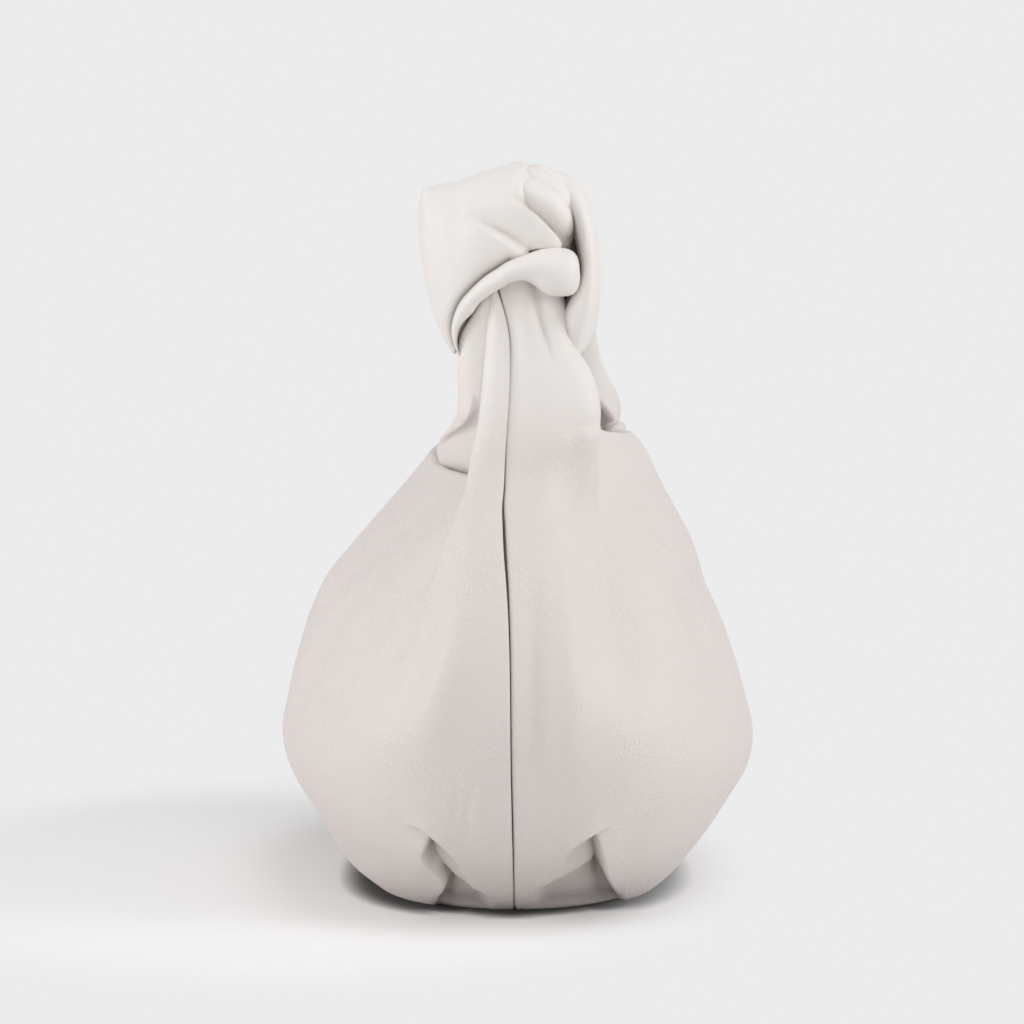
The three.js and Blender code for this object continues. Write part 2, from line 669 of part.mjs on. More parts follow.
// Necks: the gathered tops of the panels, from the rim to the ends of the strap
function neck(rimRing, strapEnd, away, flare) {
  const steps = 8;
  const rings = span(0, 1, steps).map((share, step) => {
    const ease = share * share * (3 - 2 * share);
    const middle = Math.sin(Math.PI * share);
    return rimRing.map((low, i) => {
      const high = strapEnd[i].clone().addScaledVector(away, clearance);
      const point = low.clone().lerp(high, ease);
      point.z = THREE.MathUtils.lerp(low.z, high.z, share);
      const wave = step > 0 && step < steps ? gatherDepth * middle * (i % 2 === 0 ? 1 : -1) : 0;
      const reach = point.x - neckShift;
      point.x = neckShift + reach * (1 + flare * middle) + wave * Math.sign(reach);
      return point;
    });
  });
  return loftRings(rings);
}
const xAxis = new THREE.Vector3(1, 0, 0);
const yAxis = new THREE.Vector3(0, 1, 0);
const neckSeat = rimHeight + clearance;
const neckReach = rimLength / 2 - neckThickness / 2 - neckInset;
const nearNeckY = -neckReach;
const farNeckY = neckReach;
const nearRimRing = sectionRing(
  new THREE.Vector3(neckShift, nearNeckY, neckSeat),
  xAxis,
  yAxis,
  nearNeckWidth,
  neckThickness,
);
const farRimRing = sectionRing(
  new THREE.Vector3(neckShift, farNeckY, neckSeat),
  xAxis,
  yAxis.clone().negate(),
  farNeckWidth,
  neckThickness,
);
const startTangent = strapPath.getTangent(0);
const endTangent = strapPath.getTangent(1);
addPiece("near_neck", neck(nearRimRing, strapRings[0], startTangent.negate(), 0), strapLeather);
addPiece("far_neck", neck(farRimRing, strapRings[strapSteps], endTangent, farNeckFlare), strapLeather);

export default bag;
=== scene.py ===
# Soft leather handbag with a knotted handle, seen from the end where the knot is.
import math

import bmesh
import bpy
import numpy as np
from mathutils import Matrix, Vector


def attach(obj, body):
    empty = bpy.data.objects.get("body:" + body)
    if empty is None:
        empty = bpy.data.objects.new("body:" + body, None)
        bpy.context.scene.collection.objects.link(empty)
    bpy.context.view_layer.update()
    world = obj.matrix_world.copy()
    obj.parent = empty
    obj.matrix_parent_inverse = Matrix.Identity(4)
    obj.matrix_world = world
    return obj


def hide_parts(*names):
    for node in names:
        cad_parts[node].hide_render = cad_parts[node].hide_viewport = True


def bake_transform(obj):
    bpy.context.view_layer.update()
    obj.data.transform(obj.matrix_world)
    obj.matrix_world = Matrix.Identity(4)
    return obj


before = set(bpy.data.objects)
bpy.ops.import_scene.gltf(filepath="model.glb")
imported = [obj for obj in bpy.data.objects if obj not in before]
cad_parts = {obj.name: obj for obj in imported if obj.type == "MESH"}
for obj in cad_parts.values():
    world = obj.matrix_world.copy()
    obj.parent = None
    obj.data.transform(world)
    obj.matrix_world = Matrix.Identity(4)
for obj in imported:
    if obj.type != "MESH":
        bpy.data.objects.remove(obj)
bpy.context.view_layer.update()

# Camera: level with the bag's lower half and far back, so that the bag's long side is hidden
# behind its end. It looks along the bag's length, a little from above.
camera_distance = 2.4
camera_elevation = math.radians(5.5)
aim = Vector((0, 0, 0.15))
camera = bpy.data.objects.new("camera", bpy.data.cameras.new("camera"))
bpy.context.collection.objects.link(camera)
camera.location = aim + camera_distance * Vector(
    (0, -math.cos(camera_elevation), math.sin(camera_elevation))
)
camera.rotation_euler = (math.pi / 2 - camera_elevation, 0, 0)
camera.data.sensor_width = 36
camera.data.lens = 201.7
camera.data.shift_x = -0.0034
camera.data.shift_y = 0.0042
camera.data.clip_end = 50
bpy.context.scene.camera = camera
bpy.context.scene.view_settings.view_transform = "Standard"

# Studio: a matt floor that fades into an even pale backdrop, a large soft lamp on each side, one
# above and one in front. Close under the bag the floor's colour is darkened by ambient occlusion:
# a painted contact shadow.
backdrop_grey = 0.836
backdrop_colour = (backdrop_grey, backdrop_grey, backdrop_grey, 1)
floor_radius = 1.6
painted_shadow_reach = 0.013


def area_lamp(name, place, size, power):
    """A soft lamp that points at what the camera is aimed at."""
    lamp = bpy.data.objects.new(name, bpy.data.lights.new(name, "AREA"))
    bpy.context.collection.objects.link(lamp)
    lamp.data.shape = "RECTANGLE"
    lamp.data.size, lamp.data.size_y = size
    lamp.data.energy = power
    lamp.location = place
    lamp.rotation_euler = (aim - Vector(place)).to_track_quat("-Z", "Y").to_euler()


area_lamp("lamp_right", (1.5, -0.45, 0.55), (0.8, 0.8), 7)
area_lamp("lamp_left", (-1.5, -0.45, 0.5), (0.8, 0.9), 8.6)
area_lamp("lamp_above", (0.25, -0.35, 1.6), (0.9, 0.9), 5.5)
area_lamp("lamp_front", (0.1, -1.9, 1.15), (1.0, 0.6), 5)


def feed(tree, made, inputs):
    """Sets the inputs of a node, or links those that are given as another node's output."""
    for name, value in inputs.items():
        if isinstance(value, bpy.types.NodeSocket):
            tree.links.new(value, made.inputs[name])
        else:
            made.inputs[name].default_value = value


def node(tree, kind, inputs={}, **settings):
    """Adds a shader node with its settings and inputs."""
    made = tree.nodes.new("ShaderNode" + kind)
    for name, value in settings.items():
        setattr(made, name, value)
    feed(tree, made, inputs)
    return made


def backdrop_rays(tree):
    """1 for the rays that show the backdrop: the camera's, and those in gloss or through glass."""
    rays = node(tree, "LightPath").outputs
    either = rays["Is Camera Ray"]
    for name in ("Is Glossy Ray", "Is Transmission Ray"):
        either = node(tree, "Math", {0: either, 1: rays[name]}, operation="MAXIMUM").outputs[0]
    return either


world = bpy.data.worlds.new("studio")
bpy.context.scene.world = world
world.use_nodes = True
sky = world.node_tree
sky_light = sky.nodes["Background"]
feed(sky, sky_light, {"Color": (1, 1, 1, 1), "Strength": 0.45})
seen = node(sky, "Background", {"Color": backdrop_colour})
pick = node(sky, "MixShader", {0: backdrop_rays(sky), 1: sky_light.outputs[0], 2: seen.outputs[0]})
feed(sky, sky.nodes["World Output"], {"Surface": pick.outputs[0]})

bpy.ops.object.select_all(action="DESELECT")
bpy.ops.mesh.primitive_circle_add(vertices=96, radius=floor_radius, fill_type="NGON")
floor = bpy.context.object
floor.name = "floor"
floor_paint = bpy.data.materials.new("floor_paint")
floor_paint.use_nodes = True
tree = floor_paint.node_tree
tree.nodes.clear()
# Painted contact shadow: the floor's colour seen by the camera darkens where the bag hides it.
beneath = node(tree, "AmbientOcclusion", {"Distance": painted_shadow_reach}, samples=8)
painted_contact_shadow = node(tree, "MapRange", {
    "Value": beneath.outputs["AO"], "From Min": 0.3, "From Max": 0.75, "To Min": 0.1,
})
shade = node(
    tree, "VectorMath", {0: (1, 1, 1), "Scale": painted_contact_shadow.outputs["Result"]}, operation="SCALE"
)
rays = node(tree, "LightPath")
paint = node(tree, "Mix", {
    "Factor": rays.outputs["Is Camera Ray"], "A": (0.9, 0.9, 0.9, 1), "B": shade.outputs[0],
}, data_type="RGBA")
matt = node(tree, "BsdfDiffuse", {"Color": paint.outputs["Result"]})
glow = node(tree, "Emission", {"Color": backdrop_colour})
place = node(tree, "TexCoord")
middle = node(tree, "Mapping", {
    "Vector": place.outputs["Object"], "Location": (0.09, 0, 0), "Scale": (1, 0.66, 1),
})
reach = node(tree, "VectorMath", {0: middle.outputs[0]}, operation="LENGTH")
fade = node(tree, "MapRange", {
    "Value": reach.outputs["Value"], "From Min": 0.13, "From Max": 0.2,
}, interpolation_type="SMOOTHSTEP")
shown = node(
    tree, "Math", {0: backdrop_rays(tree), 1: fade.outputs["Result"]}, operation="MULTIPLY"
)
blend = node(tree, "MixShader", {0: shown.outputs[0], 1: matt.outputs[0], 2: glow.outputs[0]})
node(tree, "OutputMaterial", {"Surface": blend.outputs[0]})
floor.data.materials.append(floor_paint)

# Bag leather: soft full-grain calf in warm white, with a fine pebble grain of about a
# millimetre and a satin finish; painted warmer and darker in its folds (painted shade) and paler
# from the necks up (painted light).
# Between these heights the leather turns smoother and, as painted light, paler.
taut_and_lit_from, taut_and_lit_full = 0.165, 0.225


def surface(name, even):
    """A new material with its node tree and its shader, whose even values are set by name."""
    material = bpy.data.materials.new(name)
    material.use_nodes = True
    shader = material.node_tree.nodes["Principled BSDF"]
    feed(material.node_tree, shader, even)
    return material, material.node_tree, shader


def mixed_colour(tree, factor, first, second):
    """A mix of two colours, each given as a colour or as another node's output."""
    pair = [c if isinstance(c, bpy.types.NodeSocket) else (*c, 1) for c in (first, second)]
    made = node(tree, "Mix", {"Factor": factor, "A": pair[0], "B": pair[1]}, data_type="RGBA")
    return made.outputs["Result"]


def leather(name, colour, painted_light_colour, painted_shade_colour, grain=1.0):
    """Leather whose grain is smoother where it is drawn taut into the necks; it is painted paler
    there (painted light) and darker in its folds (painted shade)."""
    material, tree, shader = surface(name, {
        "Specular IOR Level": 0.35, "Sheen Weight": 0.06, "Sheen Roughness": 0.5,
    })
    place = node(tree, "TexCoord").outputs["Object"]
    warp = node(tree, "TexNoise", {"Vector": place, "Scale": 240, "Detail": 2})
    shift = node(tree, "VectorMath", {
        0: warp.outputs["Color"], 1: (0.0009, 0.0009, 0.0009), 2: place,
    }, operation="MULTIPLY_ADD").outputs[0]
    pebble, fine = [
        node(tree, "TexVoronoi", {
            "Vector": shift, "Scale": scale, "Smoothness": smoothness,
        }, feature="SMOOTH_F1").outputs["Distance"]
        for scale, smoothness in ((820, 0.35), (1900, 0.5))
    ]
    patches = node(tree, "TexNoise", {"Vector": place, "Scale": 26, "Detail": 3}).outputs["Fac"]
    depth = node(tree, "MapRange", {
        "Value": patches, "From Min": 0.35, "From Max": 0.68,
        "To Min": 0.3 * grain, "To Max": grain,
    })
    height = node(tree, "SeparateXYZ", {0: place})
    taut_and_lit = node(tree, "MapRange", {
        "Value": height.outputs["Z"], "From Min": taut_and_lit_from, "From Max": taut_and_lit_full,
    }, interpolation_type="SMOOTHSTEP").outputs[0]
    smooth = node(tree, "MapRange", {"Value": taut_and_lit, "To Min": 1.0, "To Max": 0.35})
    relief = node(tree, "Math", {0: depth.outputs[0], 1: smooth.outputs[0]}, operation="MULTIPLY")
    both = node(tree, "Math", {0: fine, 1: 0.35, 2: pebble}, operation="MULTIPLY_ADD")
    bump = node(tree, "Bump", {
        "Strength": relief.outputs[0], "Distance": 0.00035, "Height": both.outputs[0],
    }, invert=True)
    tone = mixed_colour(tree, patches, [0.955 * c for c in colour], colour)
    # From the necks up the tone turns paler: painted light.
    painted_light_tone = mixed_colour(tree, taut_and_lit, tone, painted_light_colour)
    # The fold attribute mixes in the fold colour: painted shade in creases, pleat recesses, the
    # seam groove and the knot's slits.
    fold = node(tree, "Attribute", attribute_name="fold")
    gloss = node(tree, "MapRange", {"Value": pebble, "To Min": 0.44, "To Max": 0.58})
    feed(tree, shader, {
        "Base Color": mixed_colour(tree, fold.outputs["Fac"], painted_light_tone, painted_shade_colour),
        "Roughness": gloss.outputs[0], "Normal": bump.outputs[0],
    })
    return material


bag_leather = leather(
    "bag_leather", (0.775, 0.712, 0.685), (0.86, 0.82, 0.79), (0.12, 0.095, 0.075)
)

# Panels: front and back halves of the body, each cut in one with its half of both necks and of
# the strap. Their edges are turned in and sewn together along one seam from end to end, and the
# rim of the mouth is turned over. At the base each end is folded into a pleat on both sides.
MM = 0.001


def curve_through(knots, values, at):
    """A smooth curve through listed values, read at the given places."""
    knots = np.asarray(knots, float)
    values = np.asarray(values, float)
    if values.ndim == 1:
        return curve_through(knots, values[:, None], at)[..., 0]
    at = np.clip(np.asarray(at, float), knots[0], knots[-1])
    step = np.diff(knots)[:, None]
    slope = np.diff(values, axis=0) / step
    tangent = np.empty_like(values)
    tangent[0], tangent[-1] = slope[0], slope[-1]
    tangent[1:-1] = (slope[:-1] * step[1:] + slope[1:] * step[:-1]) / (step[:-1] + step[1:])
    i = np.clip(np.searchsorted(knots, at, side="right") - 1, 0, len(knots) - 2)
    h = (knots[i + 1] - knots[i])[..., None]
    t = (at - knots[i])[..., None] / h
    return (
        (1 + 2 * t) * (1 - t) ** 2 * values[i]
        + t * (1 - t) ** 2 * h * tangent[i]
        + t * t * (3 - 2 * t) * values[i + 1]
        + t * t * (t - 1) * h * tangent[i + 1]
    )


def ease(value, low, high):
    """Rises smoothly from 0 at low to 1 at high."""
    t = np.clip((np.asarray(value, float) - low) / (high - low), 0, 1)
    return t * t * (3 - 2 * t)


def reach_along(points):
    """How far each point of a line lies from its start, measured along it."""
    return np.concatenate([[0], np.cumsum(np.linalg.norm(np.diff(points, axis=0), axis=1))])


def squared(value, power):
    """A cosine or sine drawn out towards the corners of a rounded square."""
    return np.sign(value) * np.abs(value) ** power


def fold_along(x, z, line, left, right, sharp=0.35):
    """Height of a fold whose line runs through points (x, z, amount), or (x, z, amount, softness).
    Left and right of the line, looking along it, the height starts at left[0] or right[0] times
    the amount and dies away over left[1] or right[1] millimetres."""
    line = np.asarray(line, float)
    if line.shape[1] == 3:
        line = np.column_stack([line, np.full(len(line), sharp)])
    reach = reach_along(line[:, :2])
    spots = curve_through(reach, line, np.linspace(0, reach[-1], 8 * len(line)))
    best = np.full(x.shape, np.inf)
    signed = np.zeros(x.shape)
    amount = np.zeros(x.shape)
    soft = np.full(x.shape, sharp, float)
    for (x0, z0, a0, s0), (x1, z1, a1, s1) in zip(spots[:-1], spots[1:]):
        dx, dz = x1 - x0, z1 - z0
        t = np.clip(((x - x0) * dx + (z - z0) * dz) / (dx * dx + dz * dz), 0, 1)
        away = np.hypot(x - x0 - t * dx, z - z0 - t * dz)
        side = np.sign((x - x0) * dz - (z - z0) * dx)
        closer = away < best
        best = np.where(closer, away, best)
        signed = np.where(closer, side * away, signed)
        amount = np.where(closer, a0 + t * (a1 - a0), amount)
        soft = np.where(closer, s0 + t * (s1 - s0), soft)
    on_right = ease(signed, -soft, soft)
    height = (1 - on_right) * left[0] * np.exp(-((best / left[1]) ** left[2]))
    height += on_right * right[0] * np.exp(-((best / right[1]) ** right[2]))
    return amount * height


def grid_normals(grid):
    """Unit normals of a grid of points: rows run up, columns run across."""
    across = np.gradient(grid, axis=1)
    up = np.gradient(grid, axis=0)
    normal = np.cross(across, up)
    size = np.linalg.norm(normal, axis=2, keepdims=True)
    return normal / np.maximum(size, 1e-9)


def soft_piece(name, points, faces, material, fold=None):
    """A mesh object at the origin from points in millimetres."""
    mesh = bpy.data.meshes.new(name)
    mesh.from_pydata((np.asarray(points) * MM).tolist(), [], [list(f) for f in faces])
    piece = bpy.data.objects.new(name, mesh)
    bpy.context.collection.objects.link(piece)
    mesh.materials.append(material)
    # The fold attribute: how much painted shade each point gets.
    shade = mesh.attributes.new("fold", "FLOAT", "POINT")
    shade.data.foreach_set("value", np.zeros(len(points)) if fold is None else fold)
    mesh.shade_smooth()
    return piece


leather_thickness = 1.8
turned_edge = 1.4
seam_allowance = 4.0
rim_roll = 2.2
rim_turning = 7.0
front_reach = [
    (0, 59), (9, 69), (24, 78.3), (38, 86.6), (51, 94), (62, 97), (78, 94.7), (96, 90.4),
    (112, 85.3), (124, 79.5), (134, 71.4), (146, 61), (158, 50.4), (168, 42), (178, 35), (206, 26),
]
back_reach = [
    (0, 61), (5, 66), (15, 73.7), (28, 82.8), (41, 90.6), (51, 96.6), (60, 98.8), (77, 95.9),
    (90, 92.2), (106, 86.7), (122, 79.6), (140, 74), (150, 68.8), (161, 62.8), (170, 58.4),
    (179, 54), (187, 47), (206, 38),
]
half_length = [
    (0, 98), (10, 119), (20, 134), (40, 155), (65, 167.5), (95, 170.5), (120, 165), (150, 149),
    (165, 139), (178, 130), (206, 124),
]
squareness = [(0, 2.4), (20, 2.55), (60, 2.6), (120, 2.3), (178, 2.05), (206, 2.0)]
seam_wander = [
    (0, -0.4), (60, -1.6), (140, -3.2), (152, -4), (160, -4.4), (168, -4.8), (174, -4.4),
    (185, -4), (197, -3.4), (210, -2.6), (222, -2.2), (230, -2.3), (236, -2.9), (243, -4.4),
    (249, -6), (258, -8.5),
]


def read(profile, height):
    """What a profile of (height, value) pairs says at a height."""
    profile = np.asarray(profile, float)
    return curve_through(profile[:, 0], profile[:, 1:], height)[..., 0]


def body_row(side, height, shares):
    """Points round one panel at a height: shares run from the near seam, 0, to the far one, 1."""
    angle = np.linspace(-math.pi / 2, math.pi / 2, 721)
    power = 2 / read(squareness, height)
    x = read(back_reach if side > 0 else front_reach, height) * np.abs(np.cos(angle)) ** power
    y = read(half_length, height) * squared(np.sin(angle), power)
    along = reach_along(np.stack([x, y], axis=1))
    along /= along[-1]
    x, y = np.interp(shares, along, x), np.interp(shares, along, y)
    near = np.exp(-((x / 40) ** 2)) * ease(-y, 20, 80)
    far = np.exp(-((x / 40) ** 2)) * ease(y, 20, 80)
    x = side * x + read(seam_wander, height) * near - 0.4 * read(seam_wander, height) * far
    return np.stack([x, y, np.full(x.shape, float(height))], axis=1)


# The near neck, as seen from the front: the left edge of the front panel's fold, the seam and the
# right edge of the back panel, by height, and how far forward the seam stands.
neck_left_edge = [
    (150, -20), (177, -17.6), (181, -17.3), (193, -15.3), (206, -13.7), (218, -12.5), (231, -11.3),
    (240, -10.6), (249, -9.6), (258, -9),
]
neck_right_edge = [
    (150, 40), (177, 37), (190, 35), (197, 34), (206, 33.6), (212, 32.2), (217, 30.7), (223, 27.7),
    (227, 24.6), (232, 22.6), (240, 21), (250, 19), (258, 18),
]
neck_front = [
    (150, -149), (178, -130.5), (190, -127.5), (205, -125), (220, -122.5), (235, -119.5),
    (250, -115), (258, -112),
]
near_neck_top = 258
near_rim = {-1: 178.0, 1: 196.0}
near_share = {-1: 0.1, 1: 0.15}


def near_neck_row(side, height, shares):
    """Points across one panel's half of the near neck: shares run from the seam to the edge."""
    seam, front = read(seam_wander, height), read(neck_front, height)
    if side < 0:
        edge = read(neck_left_edge, height)
        across = [(seam, front), (seam + 0.5 * (edge - seam), front - 1.3), (edge, front + 3.2)]
        across += [(edge + 1.2, front + 9), (edge + 3, front + 16)]
        knots = [0, 0.3, 0.62, 0.82, 1]
    else:
        edge = read(neck_right_edge, height)
        wide = edge - seam
        across = [(seam, front), (seam + 0.28 * wide, front - 2.6), (seam + 0.58 * wide, front - 1)]
        across += [(edge - 0.08 * wide, front + 4), (edge, front + 10), (edge - 4, front + 24)]
        knots = [0, 0.22, 0.46, 0.66, 0.78, 1]
    flat = curve_through(knots, across, shares)
    return np.column_stack([flat, np.full(len(shares), float(height))])


# The far neck narrows into the strap, which goes over the hand gap and into the back of the knot.
# Stations: along y and z, half width, half thickness, and how far the edges meet underneath.
strap_stations = [
    (8, 138, 150, 44, 8, 0), (13, 120, 178, 44, 9, 0), (9.5, 108.5, 203, 30, 9, 0.35),
    (7.5, 98, 224, 27, 8.5, 0.8), (6.5, 84, 246, 26, 8, 1), (6, 57, 265, 25, 7.5, 1),
    (4, 22, 275.5, 24, 7, 1), (3, -11, 273.5, 21, 7, 1), (6, -38, 265.5, 18, 6.8, 1),
    (10, -58, 259, 15, 6.5, 1), (12, -74, 256, 12, 6, 1),
]
strap_gathers = {
    -1: [(0.2, -1.1, 0.05), (0.33, 0.8, 0.07), (0.47, -1.4, 0.05), (0.66, 0.5, 0.06)],
    1: [(0.14, 0.5, 0.05), (0.27, -1.3, 0.05), (0.42, 0.7, 0.07), (0.56, -1.2, 0.05)],
}


strap = np.asarray(strap_stations, float)
strap_reach = reach_along(strap[:, 1:3])


def strap_frame(at):
    """The strap's stations read at a distance along it, and the direction out of its top."""
    here = curve_through(strap_reach, strap, at)
    step = curve_through(strap_reach, strap, at + 0.5) - curve_through(strap_reach, strap, at - 0.5)
    along = np.array([0, step[1], step[2]])
    along /= np.linalg.norm(along)
    return here, np.array([0, along[2], -along[1]])


def strap_row(side, at, shares):
    """Points round one panel's half of the far neck or strap: shares run from seam to edge."""
    (x, y, z, wide, thick, closed), outward = strap_frame(at)
    low = (1 - closed) * np.array([wide - 2, -16]) + closed * np.array([1.2, -thick])
    middle = (1 - closed) * np.array([wide, -8]) + closed * np.array([0.62 * wide, -thick - 0.6])
    across = [(0, thick), (0.45 * wide, thick + 0.9), (0.85 * wide, 0.62 * thick)]
    across += [(wide, -0.1 * thick), tuple(middle), tuple(low)]
    flat = curve_through([0, 0.24, 0.5, 0.64, 0.82, 1], across, shares)
    for share, deep, broad in strap_gathers[side]:
        flat[:, 1] += deep * np.exp(-(((shares - share) / broad) ** 2))
    points = np.array([x, y, z]) + flat[:, 1:2] * outward
    points[:, 0] += side * flat[:, 0]
    return points


near_columns, side_columns, far_columns = 78, 104, 46
base_rows = 9
far_share = 0.13
neck_from, neck_full = 150, 202
profile_top = 206
base_half, base_gap = 94.5, 0.6
rim_heights = {
    -1: [(0, 178), (0.3, 176.5), (0.6, 176), (1, 178)],
    1: [(0, 196), (0.15, 196), (0.2, 193.5), (0.26, 190.5), (0.36, 187.5), (0.5, 184.5),
        (0.7, 181), (1, 179)],
}

# Folds and creases of the near end, as (x, z, amount) lines with the heights to their left and
# right: the gathers that run down from the neck, tension lines by the seam, and the pleats.
near_folds = {
    -1: [
        (
            [(-17.9, 184, 0.8, 1), (-18.2, 177.3, 0.9, 1.1), (-20.6, 169, 1, 1.2),
             (-23.6, 160.3, 1, 1.5), (-28.4, 150.8, 0.95, 2), (-33.5, 141, 0.85, 3),
             (-39, 133.5, 0.75, 4.5), (-46, 125, 0.6, 6), (-53, 114, 0.4, 8),
             (-62, 102, 0.2, 10), (-72, 88, 0, 12)],
            (3.2, 12, 1.5), (-9.5, 20, 1.3), 1.1,
        ),
        (
            [(-22, 156, 0), (-29, 138, 0.6), (-38, 116, 1), (-46, 98, 0.8), (-55, 78, 0)],
            (-3.8, 9, 2), (-3.8, 9, 2), 2,
        ),
        (
            [(-9, 172, 0), (-13, 155, 0.6), (-18, 138, 1), (-25, 112, 1), (-32, 90, 0.8),
             (-42, 66, 0)],
            (3.6, 10, 2), (3.6, 10, 2), 2,
        ),
        ([(-17, 64, 0), (-18.5, 47, 1), (-17.5, 30, 0)], (-0.6, 2.4, 2), (-0.6, 2.4, 2), 1),
        ([(-22.5, 68, 0), (-23, 52, 1), (-22, 38, 0)], (-0.45, 2.2, 2), (-0.45, 2.2, 2), 1),
    ],
    1: [
        (
            [(22, 190, 0), (26, 178, 0.6), (31.5, 161.5, 1), (38, 139, 1), (42, 116, 0.9),
             (47, 80, 0)],
            (-6.5, 12.5, 1.8), (-6.5, 12.5, 1.8), 3,
        ),
        (
            [(36, 190, 0), (45, 178, 0.8), (53, 160, 1), (61, 140, 1), (70, 118, 0.7),
             (78, 96, 0)],
            (3.8, 12, 2), (3.8, 12, 2), 3,
        ),
        ([(7, 168, 0), (8, 120, 1), (8.5, 70, 0.8), (9, 40, 0)], (-2.6, 6, 2), (-2.6, 6, 2), 2),
        ([(15, 150, 0), (19, 120, 1), (22, 80, 0.8), (24, 56, 0)], (2.2, 8, 2), (2.2, 8, 2), 2),
        ([(16, 68, 0), (17.5, 50, 1), (16, 28, 0)], (-0.6, 2.4, 2), (-0.6, 2.4, 2), 1),
        ([(21.5, 62, 0), (22, 48, 1), (20.5, 34, 0)], (-0.45, 2.2, 2), (-0.45, 2.2, 2), 1),
        (
            [(9.2, 256, 1), (10.3, 246, 0.9), (11.6, 238, 0.6), (13.6, 230, 0.3), (16, 220, 0)],
            (0, 5, 1), (-3.8, 7, 1.2), 0.8,
        ),
        ([(1.5, 256, 0), (3.4, 246, 1), (4.5, 232, 0.8), (6, 214, 0)], (0.9, 5, 2), (0.9, 5, 2), 1),
        (
            [(21, 191, 0, 3), (25, 194.2, 0.7, 1.2), (29.5, 196, 1, 0.8), (35, 197.2, 1, 0.8),
             (42, 197, 0.8, 1)],
            (-1.6, 6, 1.4), (1.6, 7, 1.5), 1.2,
        ),
    ],
}
# Slack folds of the long sides, as (y, z, amount) lines that run down from both necks.
side_folds = {
    -1: [
        ([(-117, 172, 0), (-106, 150, 0.8), (-95, 120, 1), (-88, 86, 0.6), (-86, 58, 0)], -2.8, 12),
        (
            [(-104, 177, 0.3), (-86, 152, 0.9), (-63, 126, 1), (-42, 104, 0.5), (-26, 88, 0)],
            -2.3, 12,
        ),
        ([(-112, 160, 0), (-84, 128, 0.7), (-66, 92, 1), (-58, 60, 0)], 1.0, 12),
        ([(119, 170, 0), (106, 148, 1), (94, 116, 1), (88, 78, 0)], -2.8, 13),
        ([(106, 177, 0.3), (84, 156, 0.8), (60, 134, 1), (36, 118, 0)], -2.2, 12),
        ([(84, 140, 0), (66, 110, 1), (56, 70, 0)], 1.0, 13),
        ([(0, 150, 1), (0, 156, 1), (0, 163, 1)], 0.9, 13),
    ],
    1: [
        ([(-117, 178, 0), (-103, 150, 0.8), (-90, 118, 1), (-84, 80, 0.5), (-84, 56, 0)], -2.6, 13),
        ([(-100, 186, 0.3), (-80, 158, 0.9), (-58, 134, 1), (-34, 114, 0)], -2.4, 12),
        ([(118, 172, 0), (103, 144, 1), (92, 112, 1), (86, 72, 0)], -2.8, 13),
        ([(108, 177, 0.3), (88, 152, 0.9), (66, 128, 1), (48, 96, 0)], -2.2, 12),
        ([(-70, 120, 0), (-60, 90, 1), (-58, 56, 0)], 0.9, 13),
        ([(90, 132, 0), (70, 100, 1), (64, 64, 0)], 0.9, 13),
        ([(-62, 168, 0), (-44, 156, 1), (-22, 162, 0)], -1.0, 12),
    ],
}
# Base pleats, as lines of (x, z, amount) that run down, with x turned so that both pleats are at
# the left: the ridge of the middle fold, the edge of the outer lobe it tucks under, and the hem.
pleat_ridge = {
    -1: [(-44, 41.5, 0), (-40.8, 41.3, 0.3), (-36.5, 40.5, 0.8), (-33, 37.6, 1), (-30.2, 34.8, 1),
         (-28.1, 31.9, 0.8), (-26, 28.8, 0.5), (-23.5, 24, 0)],
    1: [(-39, 41.4, 0), (-36, 41.1, 0.3), (-32.5, 39.9, 0.8), (-29.6, 38.3, 1), (-26.8, 36.2, 1),
        (-24, 33.4, 0.8), (-21.9, 30.6, 0.5), (-18.5, 24, 0)],
}
pleat_edge = {
    -1: [(-33, 39, 0), (-34.3, 34, 1), (-35.7, 27.8, 1), (-34.5, 24.8, 0.9), (-31.5, 21.6, 0.7),
         (-28.2, 17, 0.6), (-27.4, 13, 0.5), (-28.6, 9, 0.4),
         (-31, 4, 0)],
    1: [(-30.8, 40, 0), (-31.8, 36, 1), (-32.7, 31.5, 1), (-33.6, 27, 1), (-34.3, 21.5, 1),
        (-35.6, 17, 0.9), (-37.4, 12.5, 0.7), (-39.5, 8, 0.4), (-42, 3, 0)],
}
pleat_hem = {
    -1: [(-33, 22, 1), (-27.4, 17.9, 1), (-21.9, 14.4, 1), (-16.7, 11.2, 1), (-10, 8, 1)],
    1: [(-40, 25.5, 1), (-33.8, 22.4, 1), (-27.4, 19.9, 1), (-20.5, 17.1, 1), (-14, 14.4, 1),
        (-7, 11, 1)],
}
pleat_reach = {-1: (-27.5, -18, -8), 1: (-35, -14, -5)}
tuck_depth, gap_depth = 4.5, 4.5
hem_depth, hem_corner_depth = 6.5, 5
far_end_strength = 0.6


